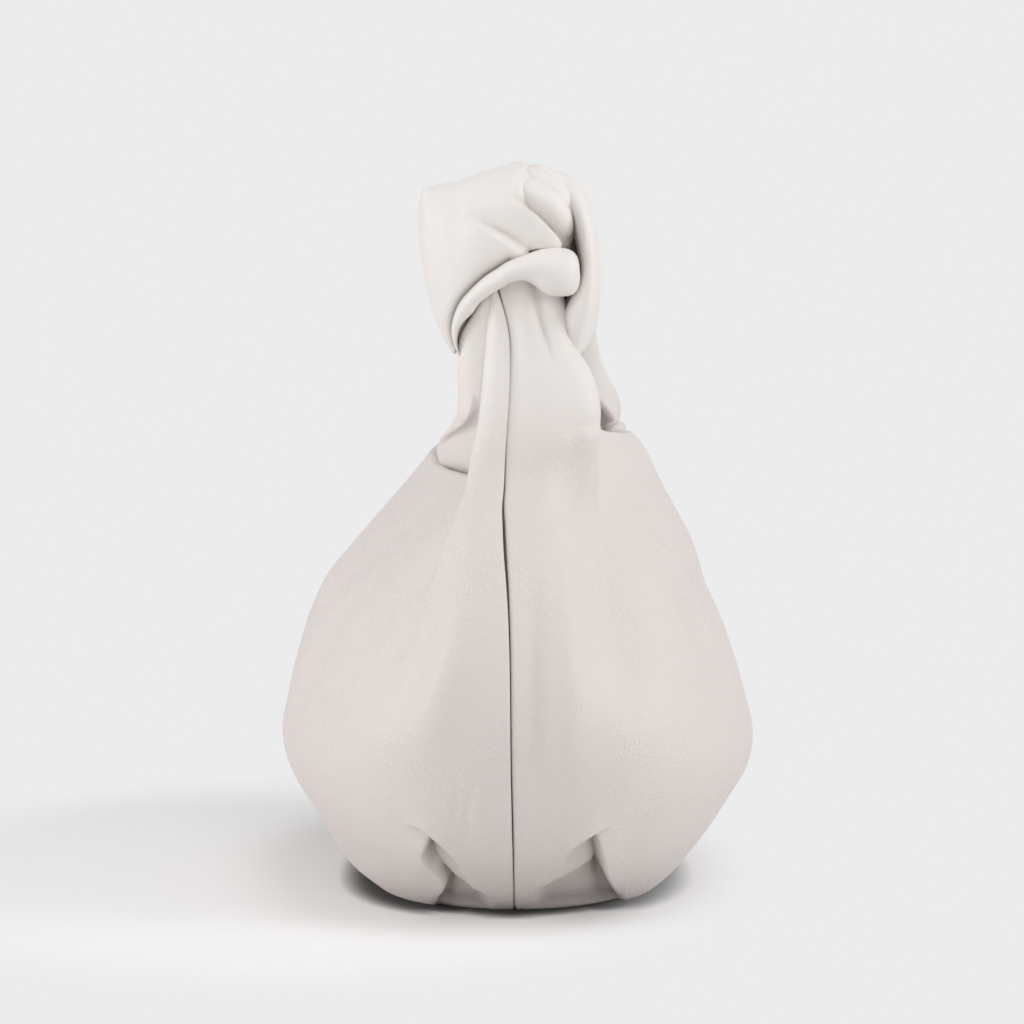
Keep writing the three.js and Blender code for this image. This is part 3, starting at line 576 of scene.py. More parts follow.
def near_end_relief(side, points):
    """Height of the near end's folds over the smooth panel, in millimetres, and how far each
    point lies in the shade of a fold, which is painted there as darker leather: painted shade."""
    x, z = points[..., 0], points[..., 2]
    height = np.zeros(x.shape)
    for line, left, right, sharp in near_folds[side]:
        height += fold_along(x, z, line, left, right, sharp)
    over = -side * x
    whole, nothing = (1, 1e9, 1), (0, 1, 1)
    every = [(*spot[:2], 1) for spot in pleat_ridge[side]]
    under_ridge = fold_along(over, z, every, nothing, whole, 1.1)
    tuck = fold_along(over, z, pleat_edge[side], (1, 13, 1.6), nothing, 1.0)
    gap = fold_along(over, z, pleat_edge[side], (1, 1.8, 1.2), nothing, 0.6)
    height -= under_ridge * (tuck_depth * tuck + gap_depth * gap)
    height += fold_along(over, z, pleat_ridge[side], (2.6, 5, 1.4), (-1.6, 5, 1.3), 1.0)
    height += fold_along(over, z, pleat_edge[side], nothing, (2.2, 9, 1.6), 0.8)
    full, fade, end = pleat_reach[side]
    under_hem = fold_along(over, z, pleat_hem[side], nothing, whole, 0.8)
    lobe = [(*spot[:2], 1) for spot in pleat_edge[side]]
    under_hem *= fold_along(over, z, lobe, whole, nothing, 0.8) * (1 - ease(over, fade, end))
    beside = np.exp(-np.clip(over - full, 0, None) / 2.5)
    height -= under_hem * (hem_depth + hem_corner_depth * beside)
    # Painted shade: under the pleat ridges, in the gaps beside the lobes and under the hem.
    painted_fold_shade = under_ridge * (0.12 * tuck + 0.45 * gap) + under_hem * (0.2 + 0.4 * beside)
    return height, np.clip(painted_fold_shade, 0, 0.7)


def rolled_edge(border, away, inward, radius, turn, tail):
    """Rows that turn a border inwards round a radius and carry it straight on by tail."""
    turns = np.radians(np.arange(22.5, turn + 1, 22.5))
    rows = [border + radius * (math.sin(a) * away + (1 - math.cos(a)) * inward) for a in turns]
    onward = math.cos(turns[-1]) * away + math.sin(turns[-1]) * inward
    return rows + [rows[-1] + share * tail * onward for share in (0.5, 1)]


def panel(side):
    """One panel with its half of both necks and of the strap, turned in along seam and rim."""
    near, far = near_share[side], 1 - far_share
    shares = np.concatenate([
        near * np.linspace(0, 1, near_columns + 1) ** 1.05,
        near + (0.5 - near) * np.linspace(0, 1, side_columns // 2 + 1)[1:] ** 1.25,
        0.5 + (far - 0.5) * (1 - (1 - np.linspace(0, 1, side_columns // 2 + 1)[1:]) ** 1.15),
        np.linspace(far, 1, far_columns + 1)[1:],
    ])
    rims = read(rim_heights[side], shares)
    low = np.concatenate([np.arange(0, 50, 1.0), np.arange(50, 140, 2.4)])
    high = np.linspace(0, 1, 26)[1:]

    rows = []
    edge = body_row(side, 0, shares)
    for inset in np.linspace(0, 1, base_rows + 1)[:-1]:
        row = edge.copy()
        row[:, 0] = side * (base_gap + (np.abs(edge[:, 0]) - base_gap) * inset)
        row[:, 1] = (1 - inset) * base_half * (2 * shares - 1) + inset * edge[:, 1]
        rows.append(row)
    heights = [np.full(len(shares), z) for z in low] + [140 + (rims - 140) * t for t in high]
    levels = np.linspace(0, profile_top, 104)
    stack = np.stack([body_row(side, z, shares) for z in levels])

    def body_at(height):
        place = np.clip(height / levels[1], 0, len(levels) - 1.001)
        i = place.astype(int)
        t = (place - i)[:, None]
        columns = np.arange(len(shares))
        return (1 - t) * stack[i, columns] + t * stack[i + 1, columns]

    q_near = np.clip(shares / near, 0, 1)
    q_far = np.clip((1 - shares) / far_share, 0, 1)
    pull_near = 1 - ease(shares, near, near + 0.13)
    pull_far = 1 - ease(1 - shares, far_share, far_share + 0.14)

    def gathered(height):
        point = body_at(height)
        rim = height[0]
        weight = ease(height, neck_from, neck_full)[:, None]
        if rim > neck_from:
            neck = near_neck_row(side, rim, q_near)
            start = np.where((shares <= near)[:, None], point, body_at(height)[near_columns])
            point = point + weight * pull_near[:, None] * (neck - start) * [1, 1, 0]
        if height[-1] > neck_from:
            at = np.interp(height[-1], strap[:3, 2], strap_reach[:3])
            neck = strap_row(side, at, q_far)
            first_far = len(shares) - 1 - far_columns
            start = np.where((shares >= far)[:, None], point, body_at(height)[first_far])
            point = point + weight * pull_far[:, None] * (neck - start) * [1, 1, 0]
        point[:, 2] = height
        return point

    rows += [gathered(height) for height in heights]
    grid = np.stack(rows)

    neck_heights = np.arange(near_rim[side] + 1.1, near_neck_top, 1.25)
    neck = []
    for z in neck_heights:
        weight = ease(z, neck_from, neck_full)
        row = (1 - weight) * body_at(np.full(len(shares), min(z, profile_top - 0.1)))
        row = row[: near_columns + 1] + weight * near_neck_row(side, z, q_near[: near_columns + 1])
        row[:, 2] = z
        neck.append(row)
    neck = np.stack(neck)

    begin = np.interp(rims[-1] + 1.5, strap[:3, 2], strap_reach[:3])
    strap_rows = []
    for at in np.arange(begin, strap_reach[-1], 2.5):
        row = strap_row(side, at, q_far[-far_columns - 1:])
        height = np.interp(at, strap_reach, strap[:, 2]) if at < strap_reach[3] else 300
        if height < 232:
            weight = ease(height, neck_from, neck_full)
            body = body_at(np.full(len(shares), min(height, profile_top - 0.1)))[-far_columns - 1:]
            level = height + ease(height, rims[-1], 232) * (row[:, 2] - height)
            row = (1 - weight) * body + weight * row
            row[:, 2] = level
        strap_rows.append(row)
    strap_rows = np.stack(strap_rows)

    def raised(block):
        normals = grid_normals(block) * side
        weight = np.clip(-1.5 * normals[..., 1], 0, 1)
        height, painted_fold_shade = near_end_relief(side, block)
        lifted = block + normals * (weight * height)[..., None]
        # How much painted shade each point gets from the folds of both ends.
        shade = weight * painted_fold_shade
        weight = np.clip(1.5 * normals[..., 1], 0, 1)
        height, painted_fold_shade = near_end_relief(-side, block * [-1, 1, 1])
        lifted += far_end_strength * normals * (weight * height)[..., None]
        shade += weight * painted_fold_shade
        weight = ease(side * normals[..., 0], 0.35, 0.8)
        slack = np.zeros(weight.shape)
        for line, height, broad in side_folds[side]:
            each = (height, broad, 2)
            slack += fold_along(block[..., 1], block[..., 2], line, each, each, broad / 3)
        return lifted + normals * (weight * slack)[..., None], shade

    def settle(block, column, seam):
        """Puts a border beside the seam and lets its neighbours follow."""
        gap = 0.1 + 0.35 * ease(seam[:, 2], 8, 45) - 1.5 * ease(seam[:, 2], 150, 200)
        shift = seam - block[:, column]
        shift[:, 0] += side * (turned_edge + gap / 2)
        shift[:, 1] += 0.5 * side * (seam[:, 1] < 0) * ease(seam[:, 2], 8, 30)
        away = np.linalg.norm(block - block[:, column][:, None], axis=2)
        return block + np.exp(-away / 9)[..., None] * shift[:, None]

    near_seam = np.concatenate([grid[:, 0], neck[:, 0]])
    far_seam, strap_seam = grid[:, -1].copy(), strap_rows[:, -1].copy()
    near_block, near_shade = raised(np.concatenate([grid[:, : near_columns + 1], neck]))
    near_block = settle(near_block, 0, near_seam)
    grid, grid_shade = raised(grid)
    grid = settle(settle(grid, 0, near_seam[: len(grid)]), -1, far_seam)
    grid[:, : near_columns + 1] = near_block[: len(grid)]
    neck = near_block[len(grid):]
    strap_rows = settle(strap_rows, -1, strap_seam)

    points, faces, shade_values = [], [], []

    def add_block(rows, groove_shade=0.0):
        start = sum(len(part) for part in points)
        points.append(rows.reshape(-1, 3))
        shade_values.append(np.broadcast_to(groove_shade, rows.shape[:2]).astype(float).ravel())
        return start + np.arange(rows.shape[0] * rows.shape[1]).reshape(rows.shape[:2])

    def join(ids):
        low_left, low_right = ids[:-1, :-1].ravel(), ids[:-1, 1:].ravel()
        high_right, high_left = ids[1:, 1:].ravel(), ids[1:, :-1].ravel()
        quads = np.stack([low_left, low_right, high_right, high_left], axis=1)
        faces.extend((quads if side > 0 else quads[:, ::-1]).tolist())

    body_ids = add_block(grid, grid_shade)
    neck_ids = add_block(neck, near_shade[len(grid):])
    strap_ids = add_block(strap_rows)
    join(body_ids)
    join(np.concatenate([body_ids[-1:, : near_columns + 1], neck_ids]))
    join(np.concatenate([body_ids[-1:, -far_columns - 1:], strap_ids]))
    everything = np.concatenate(points)

    def turn_in(ids, inner_ids, expected, at, radius, turn, tail, groove_shade):
        border, inner = everything[ids], everything[inner_ids]
        along = np.gradient(border, axis=0)
        along /= np.maximum(np.linalg.norm(along, axis=1, keepdims=True), 1e-9)
        away = border - inner
        away -= along * (away * along).sum(axis=1, keepdims=True)
        away /= np.maximum(np.linalg.norm(away, axis=1, keepdims=True), 1e-9)
        inward = np.cross(along, away)
        if inward[at] @ np.asarray(expected, float) < 0:
            inward = -inward
        rolls = np.stack(rolled_edge(border, away, inward, radius, turn, tail))
        rolls[..., 2] = np.maximum(rolls[..., 2], 0.2)
        strip = add_block(rolls)
        # The turned-in edge is painted darker row by row into the seam: painted shade.
        shade_values[-1] = np.repeat(np.linspace(0, 1, len(rolls)) ** 2 * groove_shade, len(border))
        strip = np.concatenate([ids[None], strip])
        flat = np.stack([strip[:-1, :-1], strip[:-1, 1:], strip[1:, 1:], strip[1:, :-1]], axis=-1)
        flat = flat.reshape(-1, 4)
        corners = np.concatenate(points)[flat[at]]
        facing = np.cross(corners[1] - corners[0], corners[3] - corners[0])
        if facing @ np.asarray(expected, float) > 0:
            flat = flat[:, ::-1]
        faces.extend(flat.tolist())

    seam = np.concatenate([
        neck_ids[::-1, 0], body_ids[::-1, 0], body_ids[0, 1:], body_ids[1:, -1], strap_ids[:, -1],
    ])
    beside = np.concatenate([
        neck_ids[::-1, 1], body_ids[::-1, 1], body_ids[1, 1:], body_ids[1:, -2], strap_ids[:, -2],
    ])
    # Only the seam's turn-in gets painted shade; the rim's gets none.
    turn_in(seam, beside, (0, 1, 0), len(neck_ids) + 60, turned_edge, 90, seam_allowance, 1.0)
    last = len(shares) - 1 - far_columns
    rim = np.concatenate([
        neck_ids[::-1, -1], body_ids[-1, near_columns: last + 1], strap_ids[:, 0],
    ])
    beside = np.concatenate([
        neck_ids[::-1, -2], body_ids[-2, near_columns: last + 1], strap_ids[:, 1],
    ])
    turn_in(
        rim, beside, (-side, 0, 0), len(neck_ids) + side_columns // 2,
        rim_roll, 180, rim_turning, 0.0,
    )

    name = "panel_front" if side < 0 else "panel_back"
    piece = soft_piece(name, np.concatenate(points), faces, bag_leather, np.concatenate(shade_values))
    thicken(piece, leather_thickness)
    skins[side] = (grid, rims)
    return piece


def face_outwards(piece):
    """Turns the faces of a closed skin round where they point inwards."""
    shape = bmesh.new()
    shape.from_mesh(piece.data)
    if shape.calc_volume(signed=True) < 0:
        bmesh.ops.reverse_faces(shape, faces=shape.faces)
    shape.to_mesh(piece.data)
    shape.free()
    piece.data.shade_smooth()


def thicken(piece, thickness):
    """Gives a skin its thickness, inwards from its outer face."""
    wall = piece.modifiers.new("wall", "SOLIDIFY")
    wall.thickness = thickness * MM
    wall.offset = -1
    wall.use_rim = True
    bpy.ops.object.select_all(action="DESELECT")
    piece.select_set(True)
    bpy.context.view_layer.objects.active = piece
    bpy.ops.object.modifier_apply(modifier="wall")
    piece.data.shade_smooth()


skins = {}
for side in (-1, 1):
    piece = panel(side)
    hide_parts("front_panel" if side < 0 else "back_panel",
                "near_neck" if side < 0 else "far_neck")
    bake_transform(piece)

# Knot: the strap turned once round itself. The wide loop passes over the front from the left, its
# lower edge rolls forward into a lip, and the free end comes down at the right and goes behind the
# neck. Every turn is the same soft leather, gathered into lengthwise folds.
def closed_loft(name, sections, material, fold=None):
    """A closed skin over a stack of closed sections, each an equal ring of points."""
    sections = np.asarray(sections, float)
    rows, ring = sections.shape[:2]
    ids = np.arange(rows * ring).reshape(rows, ring)
    turned = np.roll(ids, -1, axis=1)
    quads = np.stack([ids[:-1], turned[:-1], turned[1:], ids[1:]], axis=-1).reshape(-1, 4)
    points = np.concatenate([sections.reshape(-1, 3), sections[[0, -1]].mean(axis=1)])
    start, end = rows * ring, rows * ring + 1
    faces = quads.tolist()
    faces += [[b, a, start] for a, b in zip(ids[0], turned[0])]
    faces += [[a, b, end] for a, b in zip(ids[-1], turned[-1])]
    shade = None if fold is None else np.concatenate([fold.ravel(), [0, 0]])
    piece = soft_piece(name, points, faces, material, shade)
    face_outwards(piece)
    return piece


def full_turn(count):
    """Angles of one full turn, without the last, which is the first again."""
    return np.linspace(0, 2 * math.pi, count + 1)[:-1]


def outward_normals(rings):
    """Unit normals of a stack of closed sections, turned away from each section's middle."""
    around = np.roll(rings, -1, axis=1) - np.roll(rings, 1, axis=1)
    along = np.gradient(rings, axis=0)
    normal = np.cross(around, along)
    normal /= np.maximum(np.linalg.norm(normal, axis=2, keepdims=True), 1e-9)
    away = rings - rings.mean(axis=1, keepdims=True)
    return normal * (1 if (normal * away).sum() > 0 else -1)


loop_top = [
    (-38.8, 279), (-38.6, 282.5), (-38.2, 286), (-37.6, 288.6), (-36.2, 290.6), (-33, 291.6),
    (-23.5, 293.6), (-14.4, 296.8), (-8, 298.8), (-1.4, 300.8), (2.6, 301.4), (5.6, 299.4),
    (8.7, 295.6), (14.2, 292.4), (18.8, 287.9), (22, 283.1), (23.9, 279), (24.8, 275.5),
]
loop_bottom = [
    (-38.8, 277), (-38.7, 272), (-38.2, 265), (-37.2, 258), (-35.8, 250.5), (-34, 243.4),
    (-31.1, 235.4), (-27.1, 227.6), (-24.9, 224.6), (-22.8, 225.5), (-20, 231), (-16, 239),
    (-11, 246), (-6, 250), (0, 252.5), (6, 253.5), (13.6, 254), (18, 257), (22, 266), (24, 272),
    (24.8, 274.5),
]
loop_front = [
    (-38.8, -92), (-38.4, -97), (-37.4, -102), (-34.5, -108), (-30, -113), (-22, -118.5),
    (-12, -122.5), (0, -124.5), (10, -123), (18, -117.5), (22, -111), (24.8, -100),
]
loop_back = [
    (-38.8, -90), (-38.4, -84), (-37, -76), (-34, -69), (-30, -64), (-22, -58.5), (-10, -55),
    (2, -55), (12, -60), (20, -70), (24.8, -92),
]
lip_upper = [
    (-22.6, 224.5), (-24.7, 229.5), (-25.6, 235.4), (-24.7, 241.2), (-22.3, 246.8), (-18, 251.9),
    (-12.5, 256.9), (-6.9, 260.6), (-2.6, 263.4), (4.2, 265.8), (9.9, 267.8), (15.6, 268.3),
    (21.2, 267.4), (24.2, 265), (25.3, 261.6), (25.6, 258.2),
]
lip_lower = [
    (-22, 225), (-23, 230.5), (-22, 235.6), (-19.8, 239), (-17, 241.8), (-14, 246.1),
    (-9.7, 249.5), (-5.7, 252.1), (-1.4, 254.5), (3.4, 255.2), (7.4, 253.2), (11.6, 250),
    (17, 248.8), (22.2, 249.2), (24.9, 251.6), (25.7, 255),
]
loop_folds = [
    (
        [(-4, 288.6, 0, 2), (2.6, 285.9, 0.55, 1.2), (6.9, 283.1, 0.85, 0.7), (12.1, 278.3, 1, 0.6),
         (16, 274, 1, 0.6), (18.4, 270.8, 1, 0.6), (19.2, 264, 1, 0.6)],
        (-8, 16, 2), (0.7, 5, 1.6), 0.7,
    ),
    (
        [(-21, 280.3, 0), (-15, 277.6, 0.6), (-8, 274, 1), (-2, 270.4, 1), (3.4, 266.6, 0.5)],
        (-5.4, 8, 1.6), (1.2, 8, 1.5), 2.2,
    ),
    ([(x + 0.7, z - 1.1, 1) for x, z in lip_upper[1:]], (-0.9, 2.6, 1.3), (-7, 40, 4), 0.6),
]
loop_left, loop_wide, loop_middle = -38.8, 63.6, -92.0
across = loop_left + loop_wide * (1 - np.cos(np.linspace(0, math.pi, 150))) / 2
turns = np.concatenate([
    np.linspace(-0.5, 0.5, 171)[:-1] * math.pi, np.linspace(0.5, 1.5, 61)[:-1] * math.pi,
])
rings = []
for x in across:
    top, bottom = read(loop_top, x), read(loop_bottom, x)
    front, back = read(loop_front, x), read(loop_back, x)
    bulge = np.where(np.cos(turns) > 0, loop_middle - front, back - loop_middle)
    y = loop_middle - bulge * squared(np.cos(turns), 0.72)
    z = (top + bottom) / 2 + (top - bottom) / 2 * squared(np.sin(turns), 0.9)
    rings.append(np.stack([np.full(len(turns), x), y, z], axis=1))
rings = np.stack(rings)
normal = outward_normals(rings)
weight = np.clip(-1.6 * normal[..., 1], 0, 1)
relief = np.zeros(weight.shape)
for line, left, right, sharp in loop_folds:
    relief += fold_along(rings[..., 0], rings[..., 2], line, left, right, sharp)
rings += normal * (weight * relief)[..., None]
# The crease under the lip and the first fold's valley are painted darker: painted shade.
under_lip = [(x, z, 1) for x, z in lip_upper[1:9]]
crease_shade = fold_along(
    rings[..., 0], rings[..., 2], under_lip, (0.75, 1.5, 1.4), (0.75, 1.5, 1.4), 0.5
)
crease_shade += fold_along(
    rings[..., 0], rings[..., 2], loop_folds[0][0], (0.5, 2.2, 1.2), (0, 1, 1), 0.6
)
loop = closed_loft("knot_loop", rings, bag_leather, np.clip(weight * crease_shade, 0, 0.8))
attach(loop, "handle")
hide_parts("knotted_handle")

# Lip: the loop's lower edge, a soft roll of the strap's leather. It comes forward across the neck
# and is tucked in at the right.
count = len(lip_upper)
knots = np.arange(count)
fine = np.linspace(0, count - 1, 170)
upper, lower = curve_through(knots, lip_upper, fine), curve_through(knots, lip_lower, fine)
lip_front = curve_through(knots, [
    -110, -113, -116, -118.5, -121, -123.5, -126.5, -129, -130.5, -131.5, -131.5, -131, -130,
    -127.5, -123, -117,
], fine)
lip_depth = curve_through(knots, [
    8, 9, 9.5, 10, 10.5, 11, 12, 13, 14, 14.5, 15, 15, 15, 14, 11, 5,
], fine)
turns = full_turn(48)
rings = []
for high, low, front, depth in zip(upper, lower, lip_front, lip_depth):
    middle, half = (high + low) / 2, (high - low) / 2
    out, up = squared(np.cos(turns), 0.85), squared(np.sin(turns), 0.85)
    y = front + depth - depth * out
    rings.append(np.stack([middle[0] + half[0] * up, y, middle[1] + half[1] * up], axis=1))
lip = closed_loft("knot_lip", rings, bag_leather)
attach(lip, "handle")

# Free end: the strap comes over the top from inside, down the right side as a flat band, and
# round behind the neck into the loop. Its lengthwise folds show on top and at its front edge.
band_stations = [
    # x, y, z, outward x, y, z, half thickness, half width, width turned upright
    (-8, -86, 288, 0, 0, 1, 7, 16, 0), (5, -87, 290.5, 0.12, 0, 1, 7.5, 16, 0),
    (15, -88.5, 290.3, 0.38, 0, 0.92, 7, 15.5, 0), (22.3, -90.5, 286.8, 0.66, 0, 0.75, 6, 15.5, 0),
    (26.3, -94, 280.5, 0.92, 0, 0.38, 4.9, 16.5, 0), (28.3, -98, 271, 1, 0, 0.12, 4.1, 17.5, 0),
    (29.4, -100.5, 262, 1, 0, 0, 3.8, 18, 0), (29.3, -102, 254, 1, 0, 0, 4.1, 18, 0),
    (27.6, -102.5, 247.5, 1, 0, -0.05, 5.8, 17.5, 0),
    (25.6, -101.5, 241.5, 0.97, 0, -0.2, 7, 17, 0),
    (24.6, -99, 235.5, 0.9, 0.1, -0.45, 6.8, 15.5, 0.1),
    (21, -93, 231, 0.7, 0.3, -0.65, 6.5, 14, 0.35),
    (13, -83, 232, 0.35, 0.9, -0.3, 6.5, 13, 0.75), (0, -74.5, 235.5, 0, 1, 0, 6.5, 13.5, 1),
    (-13, -73, 238, -0.3, 0.95, 0, 6.5, 15, 1), (-20, -79, 243, -0.75, 0.6, -0.1, 6, 14, 1),
    (-24, -88, 252, -0.95, 0.2, -0.1, 4, 12, 1), (-24, -92, 262, -1, 0, 0, 3, 10, 1),
]
stations = np.asarray(band_stations, float)
fine = curve_through(np.arange(len(stations)), stations, np.linspace(0, len(stations) - 1, 260))
turns = full_turn(96)
ripple = 0.55 * np.cos(turns * 2) ** 2 * np.cos(11 * np.sin(turns))
rings = []
for place, tangent in zip(fine, np.gradient(fine[:, :3], axis=0)):
    tangent = tangent / np.linalg.norm(tangent)
    normal = place[3:6] - tangent * (place[3:6] @ tangent)
    normal /= np.linalg.norm(normal)
    wide = np.cross(normal, tangent)
    if wide @ np.array([0, 1 - place[8], place[8]]) < 0:
        wide = -wide
    out, span = squared(np.cos(turns), 0.8), squared(np.sin(turns), 0.9)
    ring = place[:3] + normal * (place[6] * out + np.sign(out) * ripple)[:, None]
    rings.append(ring + wide * (place[7] * span)[:, None])
free_end = closed_loft("knot_free_end", np.stack(rings), bag_leather)
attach(free_end, "handle")

# Gathers: narrow rolls of the same strap leather that show between the loop's top and the free
# end, where the knot draws the strap's width together.
turns = full_turn(36)
gathers = [
    [(-9, -97, 285, 5), (-2, -104, 289, 6), (4.5, -108.5, 289.8, 6.2), (9.6, -110.5, 287.4, 6),
     (14, -110.5, 284, 5.7), (17.2, -109, 279.8, 5.2), (18.4, -103, 275.5, 4.6),
     (17, -95, 273, 3)],
    [(-2, -100, 291, 6), (6, -103, 294, 5.5), (12.5, -104.5, 291.3, 5.4), (17, -104.5, 287.2, 5.2),
     (19.6, -102, 282, 4.6), (20.2, -96, 277.5, 4), (19, -90, 275, 3)],
    [(2, -94, 292, 6), (9, -96, 295.6, 5), (15, -97, 293, 4.8), (19.3, -97, 289, 4.6),
     (21.5, -95, 283.5, 3.8), (21.6, -90, 279, 3)],
]
for number, path in enumerate(gathers, 1):
    path = curve_through(np.arange(len(path)), path, np.linspace(0, len(path) - 1, 60))
    rings = []
    for place, tangent in zip(path, np.gradient(path[:, :3], axis=0)):
        tangent /= np.linalg.norm(tangent)
        across = np.cross(tangent, [0, 1, 0])
        across /= np.linalg.norm(across)
        through = np.cross(across, tangent)
        rings.append(
            place[:3]
            + place[3] * (np.cos(turns)[:, None] * across + 1.3 * np.sin(turns)[:, None] * through)
        )
    gather = closed_loft(f"knot_gather_{number}", np.stack(rings), bag_leather)
    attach(gather, "handle")

# Core: the strap's leather gathered inside the knot and squeezed between its turns, where it
# shows only as slits. Its whole surface is painted in the dark fold colour: painted shade.
turns = full_turn(32)
rings = []
for x, wide, low, high in [
    (-20, 3, 248, 262), (-16, 8, 244, 272), (-8, 10, 240, 280), (2, 11, 238, 284),
    (12, 10, 237, 284), (20, 9, 239, 284), (25, 8, 242, 282), (26.4, 3, 250, 276),
]:
    y = -88 + wide * np.cos(turns)
    z = (low + high) / 2 + (high - low) / 2 * np.sin(turns)
    rings.append(np.stack([np.full(len(turns), float(x)), y, z], axis=1))
rings = np.stack(rings)
core = closed_loft("knot_core", rings, bag_leather, np.full(rings.shape[:2], 0.85))
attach(core, "handle")

# Inner pleat: the part of the front panel's neck that is folded behind its edge. It rises from
# inside the mouth's left corner and goes up into the knot under the lip.
pleat_stations = [
    # z, x and y of the left edge, x and y of the right edge, half depth
    (150, -21, -52, -8, -94, 4), (166, -25, -57, -8.5, -97, 5), (173, -28.4, -61, -9.5, -99.5, 5.6),
    (178, -30.8, -64, -10, -100.5, 6), (184, -32, -67, -10.5, -101.5, 6.2),
    (188.5, -30.4, -73, -11, -102, 6.6), (193.6, -27, -84, -11, -103, 7.2),
    (200, -23.9, -97, -10.5, -104, 7.8), (208, -23, -101, -9.5, -105, 8),
    (221, -23.4, -104, -8.5, -106.5, 8), (233, -21.8, -106, -7, -107.5, 8),
    (241, -17.5, -107, -7, -108, 7.6), (247, -14.5, -107.5, -7.2, -108.5, 7),
    (252, -13, -107.5, -8, -108, 5),
]
pleat = np.asarray(pleat_stations, float)
fine = curve_through(pleat[:, 0], pleat, np.linspace(150, 252, 170))
turns = full_turn(80)
rings = []
for z, left, left_y, right, right_y, deep in fine:
    out, front = squared(np.cos(turns), 0.85), squared(np.sin(turns), 0.85)
    x = (left + right) / 2 + (right - left) / 2 * out
    y = (left_y + right_y) / 2 + (right_y - left_y) / 2 * out
    rings.append(np.stack([x, y - deep * front, np.full(len(turns), z)], axis=1))
rings = np.stack(rings)
normal = outward_normals(rings)
weight = np.clip(-1.6 * normal[..., 1], 0, 1)
relief = fold_along(
    rings[..., 0], rings[..., 2],
    [(-34, 183, 0), (-31, 186.5, 0.6), (-28.2, 189.9, 1), (-20.2, 196.7, 1), (-17.4, 201.5, 0.8),
     (-16.5, 210, 0)],
    (0.8, 5, 1.5), (-3.4, 9, 1.2), 0.8,
)
rings += normal * (weight * relief)[..., None]
inner_pleat = closed_loft("neck_inner_pleat", rings, bag_leather)
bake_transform(inner_pleat)

# Second fold: a narrow fold of the neck's leather at its right, drawn up under the lip's blunt
# end and held by the knot.
turns = full_turn(48)
second_stations = [
    (222, 14, 24, -108, 5), (231, 12, 21.5, -109, 5.5), (239, 9.5, 19.6, -109.5, 6),
    (246, 8, 17.4, -109.5, 6), (251, 7, 15.6, -109, 5.5), (256, 7, 14, -107, 4),
]
second = np.asarray(second_stations, float)
fine = curve_through(second[:, 0], second, np.linspace(222, 256, 70))
rings = []
for z, left, right, y, deep in fine:
    x = (left + right) / 2 + (right - left) / 2 * np.cos(turns)
    rings.append(np.stack([x, y - deep * np.sin(turns), np.full(len(turns), z)], axis=1))
second_fold = closed_loft("neck_second_fold", np.stack(rings), bag_leather)
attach(second_fold, "handle")

# Facings: a strip of the bag's leather sewn inside the rim of each panel. Its top edge lies over
# the turned-in rim and is topstitched; its lower edge holds the lining.
facing_leather = leather(
    "facing_leather", (0.72, 0.685, 0.65), (0.72, 0.685, 0.65), (0.36, 0.31, 0.26), 0.7
)
facing_depth = {-1: 35, 1: 42}
facing_top = 4.5
facing_behind = (4.5, 6.0)


def sampled(grid, heights, columns):
    """Rows of a panel's grid at the given heights, one height for each column and row."""
    rows = []
    for height in heights:
        row = []
        for column, z in zip(columns, height):
            levels = grid[base_rows:, column, 2]
            row.append([np.interp(z, levels, grid[base_rows:, column, k]) for k in range(3)])
        rows.append(row)
    return np.array(rows)


def shell(name, outer, inner, material):
    """A closed sheet between two grids of the same size."""
    rows, columns = outer.shape[:2]
    count = rows * columns
    ids = np.arange(count).reshape(rows, columns)
    quads = np.stack([ids[:-1, :-1], ids[:-1, 1:], ids[1:, 1:], ids[1:, :-1]], axis=-1)
    quads = quads.reshape(-1, 4)
    edge = np.concatenate([ids[0], ids[1:, -1], ids[-1, -2::-1], ids[-2:0:-1, 0]])
    after = np.roll(edge, -1)
    sides = np.stack([after, edge, edge + count, after + count], axis=1)
    faces = quads.tolist() + (quads[:, ::-1] + count).tolist() + sides.tolist()
    points = np.concatenate([outer.reshape(-1, 3), inner.reshape(-1, 3)])
    piece = soft_piece(name, points, faces, material)
    face_outwards(piece)
    across, up = reach_along(outer[rows // 2]), reach_along(outer[:, columns // 2])
    shape = bmesh.new()
    shape.from_mesh(piece.data)
    chart = shape.loops.layers.uv.new("weave")
    for face in shape.faces:
        for corner in face.loops:
            row, column = divmod(corner.vert.index % count, columns)
            corner[chart].uv = (across[column] * MM, up[row] * MM)
    shape.to_mesh(piece.data)
    shape.free()
    piece.data.shade_smooth()
    return piece


stitch_rows = []
for side in (-1, 1):
    grid, rims = skins[side]
    last = len(rims) - 1 - far_columns
    columns = np.arange(near_columns + 1, last)
    tops = rims[columns] - facing_top
    heights = [tops - t * (facing_depth[side] - facing_top) for t in np.linspace(1, 0, 15)]
    wall = sampled(grid, heights, columns)
    inward = -grid_normals(wall) * side
    outer, inner = [wall + behind * inward for behind in facing_behind]
    facing = shell("facing_front" if side < 0 else "facing_back", outer, inner, facing_leather)
    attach(facing, "bag")
    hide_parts("front_facing" if side < 0 else "back_facing")
    stitch_rows += [inner[-1] - [0, 0, 1.8], inner[0] + [0, 0, 1.8]]

# Stitches: twisted linen thread in the facings, one row along the top and one along the lower
# edge, each stitch sunk into the leather at both ends.
thread, tree, shader = surface("thread", {"Roughness": 0.75})
twist = node(tree, "TexWave", {
    "Vector": node(tree, "TexCoord").outputs["Object"], "Scale": 900,
}, bands_direction="DIAGONAL")
ply = mixed_colour(tree, twist.outputs["Fac"], (0.52, 0.48, 0.43), (0.74, 0.70, 0.65))
feed(tree, shader, {"Base Color": ply})
stitch_pitch, stitch_length = 3.4, 2.7


